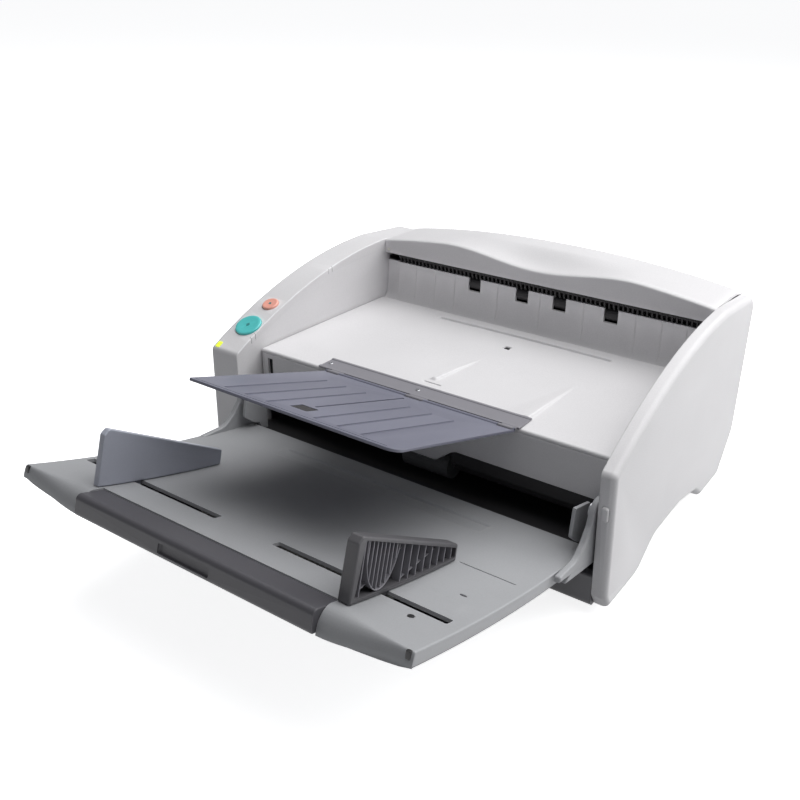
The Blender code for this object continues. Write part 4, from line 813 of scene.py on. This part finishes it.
def belly_section(y):
    fade = max(0.0, min(1.0, (TRAY_REAR + 4 - y) / 34))
    upper, lower = [], []
    for i in range(41):
        share = 2 * i / 40 - 1
        x = (TRAY_LEFT + TRAY_RIGHT) / 2 + share * (TRAY_RIGHT - TRAY_LEFT) / 2
        z = surface(y) - SKIRT - 0.3 - 9.5 * fade * (1 - abs(share) ** 2.4)
        upper.append((x, y, z))
        lower.append((x - share ** 15 * 1.2, y, z - 2.4 + 1.0 * abs(share) ** 30))
    return upper + lower[::-1]


belly = lofted("tray_belly_shell", [belly_section(TRAY_FRONT + 1.2 + (TRAY_REAR - TRAY_FRONT - 1.2) * i / 40)
                                    for i in range(41)], TRAY)
carve(belly, bar("notch", (NOTCH_LEFT, -240, -90), (NOTCH_RIGHT, NOTCH_REAR, -20), TRAY, 0.3))
shown(belly, TRAY_PLASTIC, "feed_tray", "tray", "tray_belly")

nose = filleted([(-223.5, -47.5, 3), (NOTCH_REAR - 0.3, -47.5, 1.5), (NOTCH_REAR - 0.3, -33.4, 0.5),
                 (-223.5, -31.6, 4)], 10)
extension = block("tray_extension_bar", nose, NOTCH_LEFT + 0.3, NOTCH_RIGHT - 0.3, TRAY, "yz", 0.8, 0.8, 3)
carve(extension, bar("plate", (NOTCH_LEFT + 3, -202, -46.5), (NOTCH_RIGHT - 3, -84, -44.5), TRAY, 0.4),
      operation="UNION")
carve(extension, bar("pull", (PATH_CENTRE - 26, -226, -44.5), (PATH_CENTRE + 20, -221.6, -37.5), TRAY, 1.5))
shown(extension, EXTENSION_PLASTIC, "tray_extension", "dark", "tray_extension")


# ------------------------------------------------------------------ paper guides
def guide_head(y):
    """Height of a guide's top edge."""
    tall, low = surface(GUIDE_FRONT) + GUIDE_TALL, surface(GUIDE_REAR) + GUIDE_LOW
    return tall + (low - tall) * (y - GUIDE_FRONT - 5) / (GUIDE_REAR - GUIDE_FRONT - 5)


def guide_plate(name, face, out, thick, rim_radius):
    """A guide's wall, from its paper face outwards."""
    foot = [(y, surface(y) + 0.4) for y in [GUIDE_FRONT + 2 + k * 7.5 for k in range(16)]]
    outline = [(GUIDE_FRONT, surface(GUIDE_FRONT) + 0.4, 1.0), *foot,
               (GUIDE_REAR, surface(GUIDE_REAR) + 0.4, 1.0), (GUIDE_REAR, guide_head(GUIDE_REAR), 2.2),
               (GUIDE_FRONT + 5, guide_head(GUIDE_FRONT + 5), 2.6),
               (GUIDE_FRONT + 1, guide_head(GUIDE_FRONT + 5) - 4, 1.5)]
    low, high = sorted((face, face + out * thick))
    return block(name, filleted(outline, 15), low, high, TRAY, "yz", rim_radius, rim_radius, 3)


def guide_stem(x):
    """The foot of a guide that reaches through its slot to the rack."""
    return bar("stem", (x - 3, RACK_LINE - 3.4, -39.1), (x + 3, RACK_LINE + 3.4, -32.3), TRAY, 0.4)


left = guide_plate("guide_left_panel", GUIDE_LEFT, -1, 5.5, 1.0)
carve(left, guide_stem(GUIDE_LEFT - 5), operation="UNION")
shown(left, GUIDE_PLASTIC, "guide_left", "guide", "guide_left")

right = guide_plate("guide_right_panel", GUIDE_RIGHT, 1, 9.5, 1.2)
pocket = [(GUIDE_FRONT + 4.0, surface(GUIDE_FRONT) + 4.0, 1)]
pocket += [(y, surface(y) + 3.4) for y in range(-190, -92, 14)]
pocket += [(GUIDE_REAR - 2.4, surface(GUIDE_REAR) + 3.4, 1),
           (GUIDE_REAR - 2.4, guide_head(GUIDE_REAR) - 2.2, 1),
           (GUIDE_FRONT + 7.5, guide_head(GUIDE_FRONT + 7.5) - 2.4, 2)]
carve(right, block("pocket", filleted(pocket, 20), GUIDE_RIGHT + 2.4, GUIDE_RIGHT + 14, TRAY, "yz", 0, 0))
carve(right, guide_stem(GUIDE_RIGHT + 5), operation="UNION")
# The right guide takes the darkened plastic as painted shade.
shown(right, GUIDE_PAINTED_SHADE, "guide_right", "guide", "guide_right")

BOWL_MIDDLE, BOWL_REACH, BOWL_LOW = -175.5, 17.0, 4.5
RIB_ROOT = GUIDE_RIGHT + 1.6


def bowl(y):
    """Height of the rounded rib's wall at y, or nothing outside it."""
    share = (y - BOWL_MIDDLE) / BOWL_REACH
    if abs(share) >= 1:
        return None
    bottom = surface(BOWL_MIDDLE) + BOWL_LOW
    return bottom + (guide_head(BOWL_MIDDLE) - bottom) * (1 - math.sqrt(1 - share * share))


ribs = []
for k in range(26):
    y = GUIDE_FRONT + 9.0 + k * 4.25
    inside = bowl(y) is not None
    if k % 2 and not inside:
        continue
    foot = bowl(y) if inside else surface(y) + 2.6
    head = guide_head(y) - 1.6
    if head - foot > 2:
        ribs.append(bar("rib", (RIB_ROOT, y - 0.45, foot), (GUIDE_RIGHT + 8.6, y + 0.45, head), TRAY, 0.25))
inner = []
for k in range(-12, 13):
    y = BOWL_MIDDLE + BOWL_REACH * math.sin(k / 12 * math.pi / 2)
    head = guide_head(y) - 1.6
    inner.append((y, head if bowl(y) is None else min(head, bowl(y))))
under = [(y + 0.55 * (y - BOWL_MIDDLE) / BOWL_REACH, z - 0.9) for y, z in inner]
ribs.append(block("bowl", inner + under[::-1], RIB_ROOT, GUIDE_RIGHT + 9.0, TRAY, "yz", 0, 0.2, 1))
for y0, y1 in ((GUIDE_FRONT + 6, -150), (-150, -110)):
    ribs.append(block("brace", [(y0, surface(y0) + 4.0), (y0 + 0.9, surface(y0) + 3.8),
                                (y1, guide_head(y1) - 4.2), (y1 - 0.9, guide_head(y1) - 4.0)],
                      RIB_ROOT, GUIDE_RIGHT + 6.5, TRAY, "yz", 0, 0.2, 1))
shown(joined_solids("guide_right_ribs", ribs), STRIP_PLASTIC, "guide_right", "guide")

# ------------------------------------------------------------------ feed cheeks
cheek = [(17.6, 46.9), (25.4, 44.8), (25.4, 82.2), (1.4, 89.0, 1.5), (-3.0, 67, 3), (7.7, 57.8, 2),
         (15.2, 54.8, 1)]
for side, x in (("left", -153.0), ("right", 171.0)):
    shown(block(f"feed_cheek_{side}", filleted(cheek, 15), x - 1.45, x + 1.45, BODY, "yz", 0.3, 0.3, 2),
          TRAY_PLASTIC, "chassis", "dark")

# ------------------------------------------------------------------ carried-over pieces
DRESS = {
    DARK: ("feed_base", "turn_guide", "inner_guide", "upper_frame", "retard_holder", "lower_image_sensor",
           "upper_image_sensor", "power_inlet", "power_switch", "exit_idler_roller"),
    BLACK: ("flap_stopper",),
    COVER: ("rear_cover",),
    BASE: ("base_frame", "lower_front_cover"),
    STEEL: ("left_side_plate", "right_side_plate", "drive_motor", "motor_pulley", "data_port",
            "tray_hinge_pin_left", "tray_hinge_pin_right", "flap_hinge_pin"),
    ROLLER: ("main_drive_roller", "exit_drive_roller", "idler_roller", "retard_roller", "feed_roller",
             "pickup_roller"),
    FOOT_RUBBER: ("foot_front_left", "foot_front_right", "foot_rear_left", "foot_rear_right", "drive_belt",
                  "exit_belt", "feed_belt"),
    GLASS: ("lower_sensor_glass", "upper_sensor_glass"),
    BOARD: ("main_board", "control_board"),
    GEAR: ("guide_rack_left", "guide_rack_right", "guide_pinion"),
}
for material, names in DRESS.items():
    for name in names:
        node = frame["nodes"][name]
        node.data.materials.clear()
        node.data.materials.append(material)
        weld = node.modifiers.new("weld", "WELD")
        weld.merge_threshold = 0.000005
        rounding = node.modifiers.new("soft edges", "BEVEL")
        rounding.width = 0.0003
        rounding.segments = 2
        rounding.limit_method = "ANGLE"
        rounding.angle_limit = math.radians(40)

# ------------------------------------------------------------------ stage
FLOOR_HALF, FLOOR_LEVEL = 60.0, -0.0002
floor_corners = [(x * FLOOR_HALF, y * FLOOR_HALF, FLOOR_LEVEL)
                 for x, y in ((-1, -1), (1, -1), (1, 1), (-1, 1))]
floor = raw("studio_floor", floor_corners, [[0, 1, 2, 3]], Matrix.Identity(4))
floor_nodes = Nodes("floor_paper")
floor_tone = floor_nodes.ramp(floor_nodes.noise(3.0), (0.3, (0.93, 0.93, 0.935)), (0.7, (0.945, 0.945, 0.95)))
floor_rough = floor_nodes.mapped(floor_nodes.noise(60.0), 0.7, 0.8)
floor.data.materials.append(floor_nodes.finish(floor_tone, floor_rough, Specular_IOR_Level=0.2,
                                               Emission_Color=(1.0, 1.0, 1.0, 1.0), Emission_Strength=0.8))
floor.visible_diffuse = False

world = bpy.data.worlds.new("studio")
bpy.context.scene.world = world
world.use_nodes = True
sky = world.node_tree.nodes
background = sky["Background"]
background.inputs["Color"].default_value = (0.93, 0.95, 1.0, 1.0)
background.inputs["Strength"].default_value = 0.18
seen = sky.new("ShaderNodeBackground")
seen.inputs["Color"].default_value = (0.97, 0.97, 0.975, 1.0)
seen.inputs["Strength"].default_value = 1.0
chooser = sky.new("ShaderNodeMixShader")
path = sky.new("ShaderNodeLightPath")
links = world.node_tree.links
links.new(path.outputs["Is Camera Ray"], chooser.inputs[0])
links.new(background.outputs[0], chooser.inputs[1])
links.new(seen.outputs[0], chooser.inputs[2])
links.new(chooser.outputs[0], sky["World Output"].inputs["Surface"])


def area_light(name, at, target, power, size, colour=(1.0, 1.0, 1.0)):
    light = bpy.data.lights.new(name, "AREA")
    light.energy = power
    light.size = size
    light.color = colour
    thing = bpy.data.objects.new(name, light)
    bpy.context.scene.collection.objects.link(thing)
    thing.location = at
    thing.rotation_euler = (Vector(target) - Vector(at)).to_track_quat("-Z", "Y").to_euler()
    return thing


area_light("overhead_softbox", (0.45, 0.70, 1.8), (0, 0, 0.08), 60.0, 2.6)
area_light("right_softbox", (1.1, 0.95, 0.5), (0.15, 0.15, 0.1), 6.5, 0.9)

camera_data = bpy.data.cameras.new("photo_camera")
camera_data.lens = 43.0335
camera_data.sensor_width = 36.0
camera_data.shift_x, camera_data.shift_y = -0.048375, -0.103875
camera = bpy.data.objects.new("photo_camera", camera_data)
bpy.context.scene.collection.objects.link(camera)
camera.location = (0.4171, -0.58362, 0.4573)
camera.rotation_euler = [math.radians(a) for a in (69.0881, -0.7567, 34.2391)]
bpy.context.scene.camera = camera
bpy.context.scene.view_settings.view_transform = "Standard"
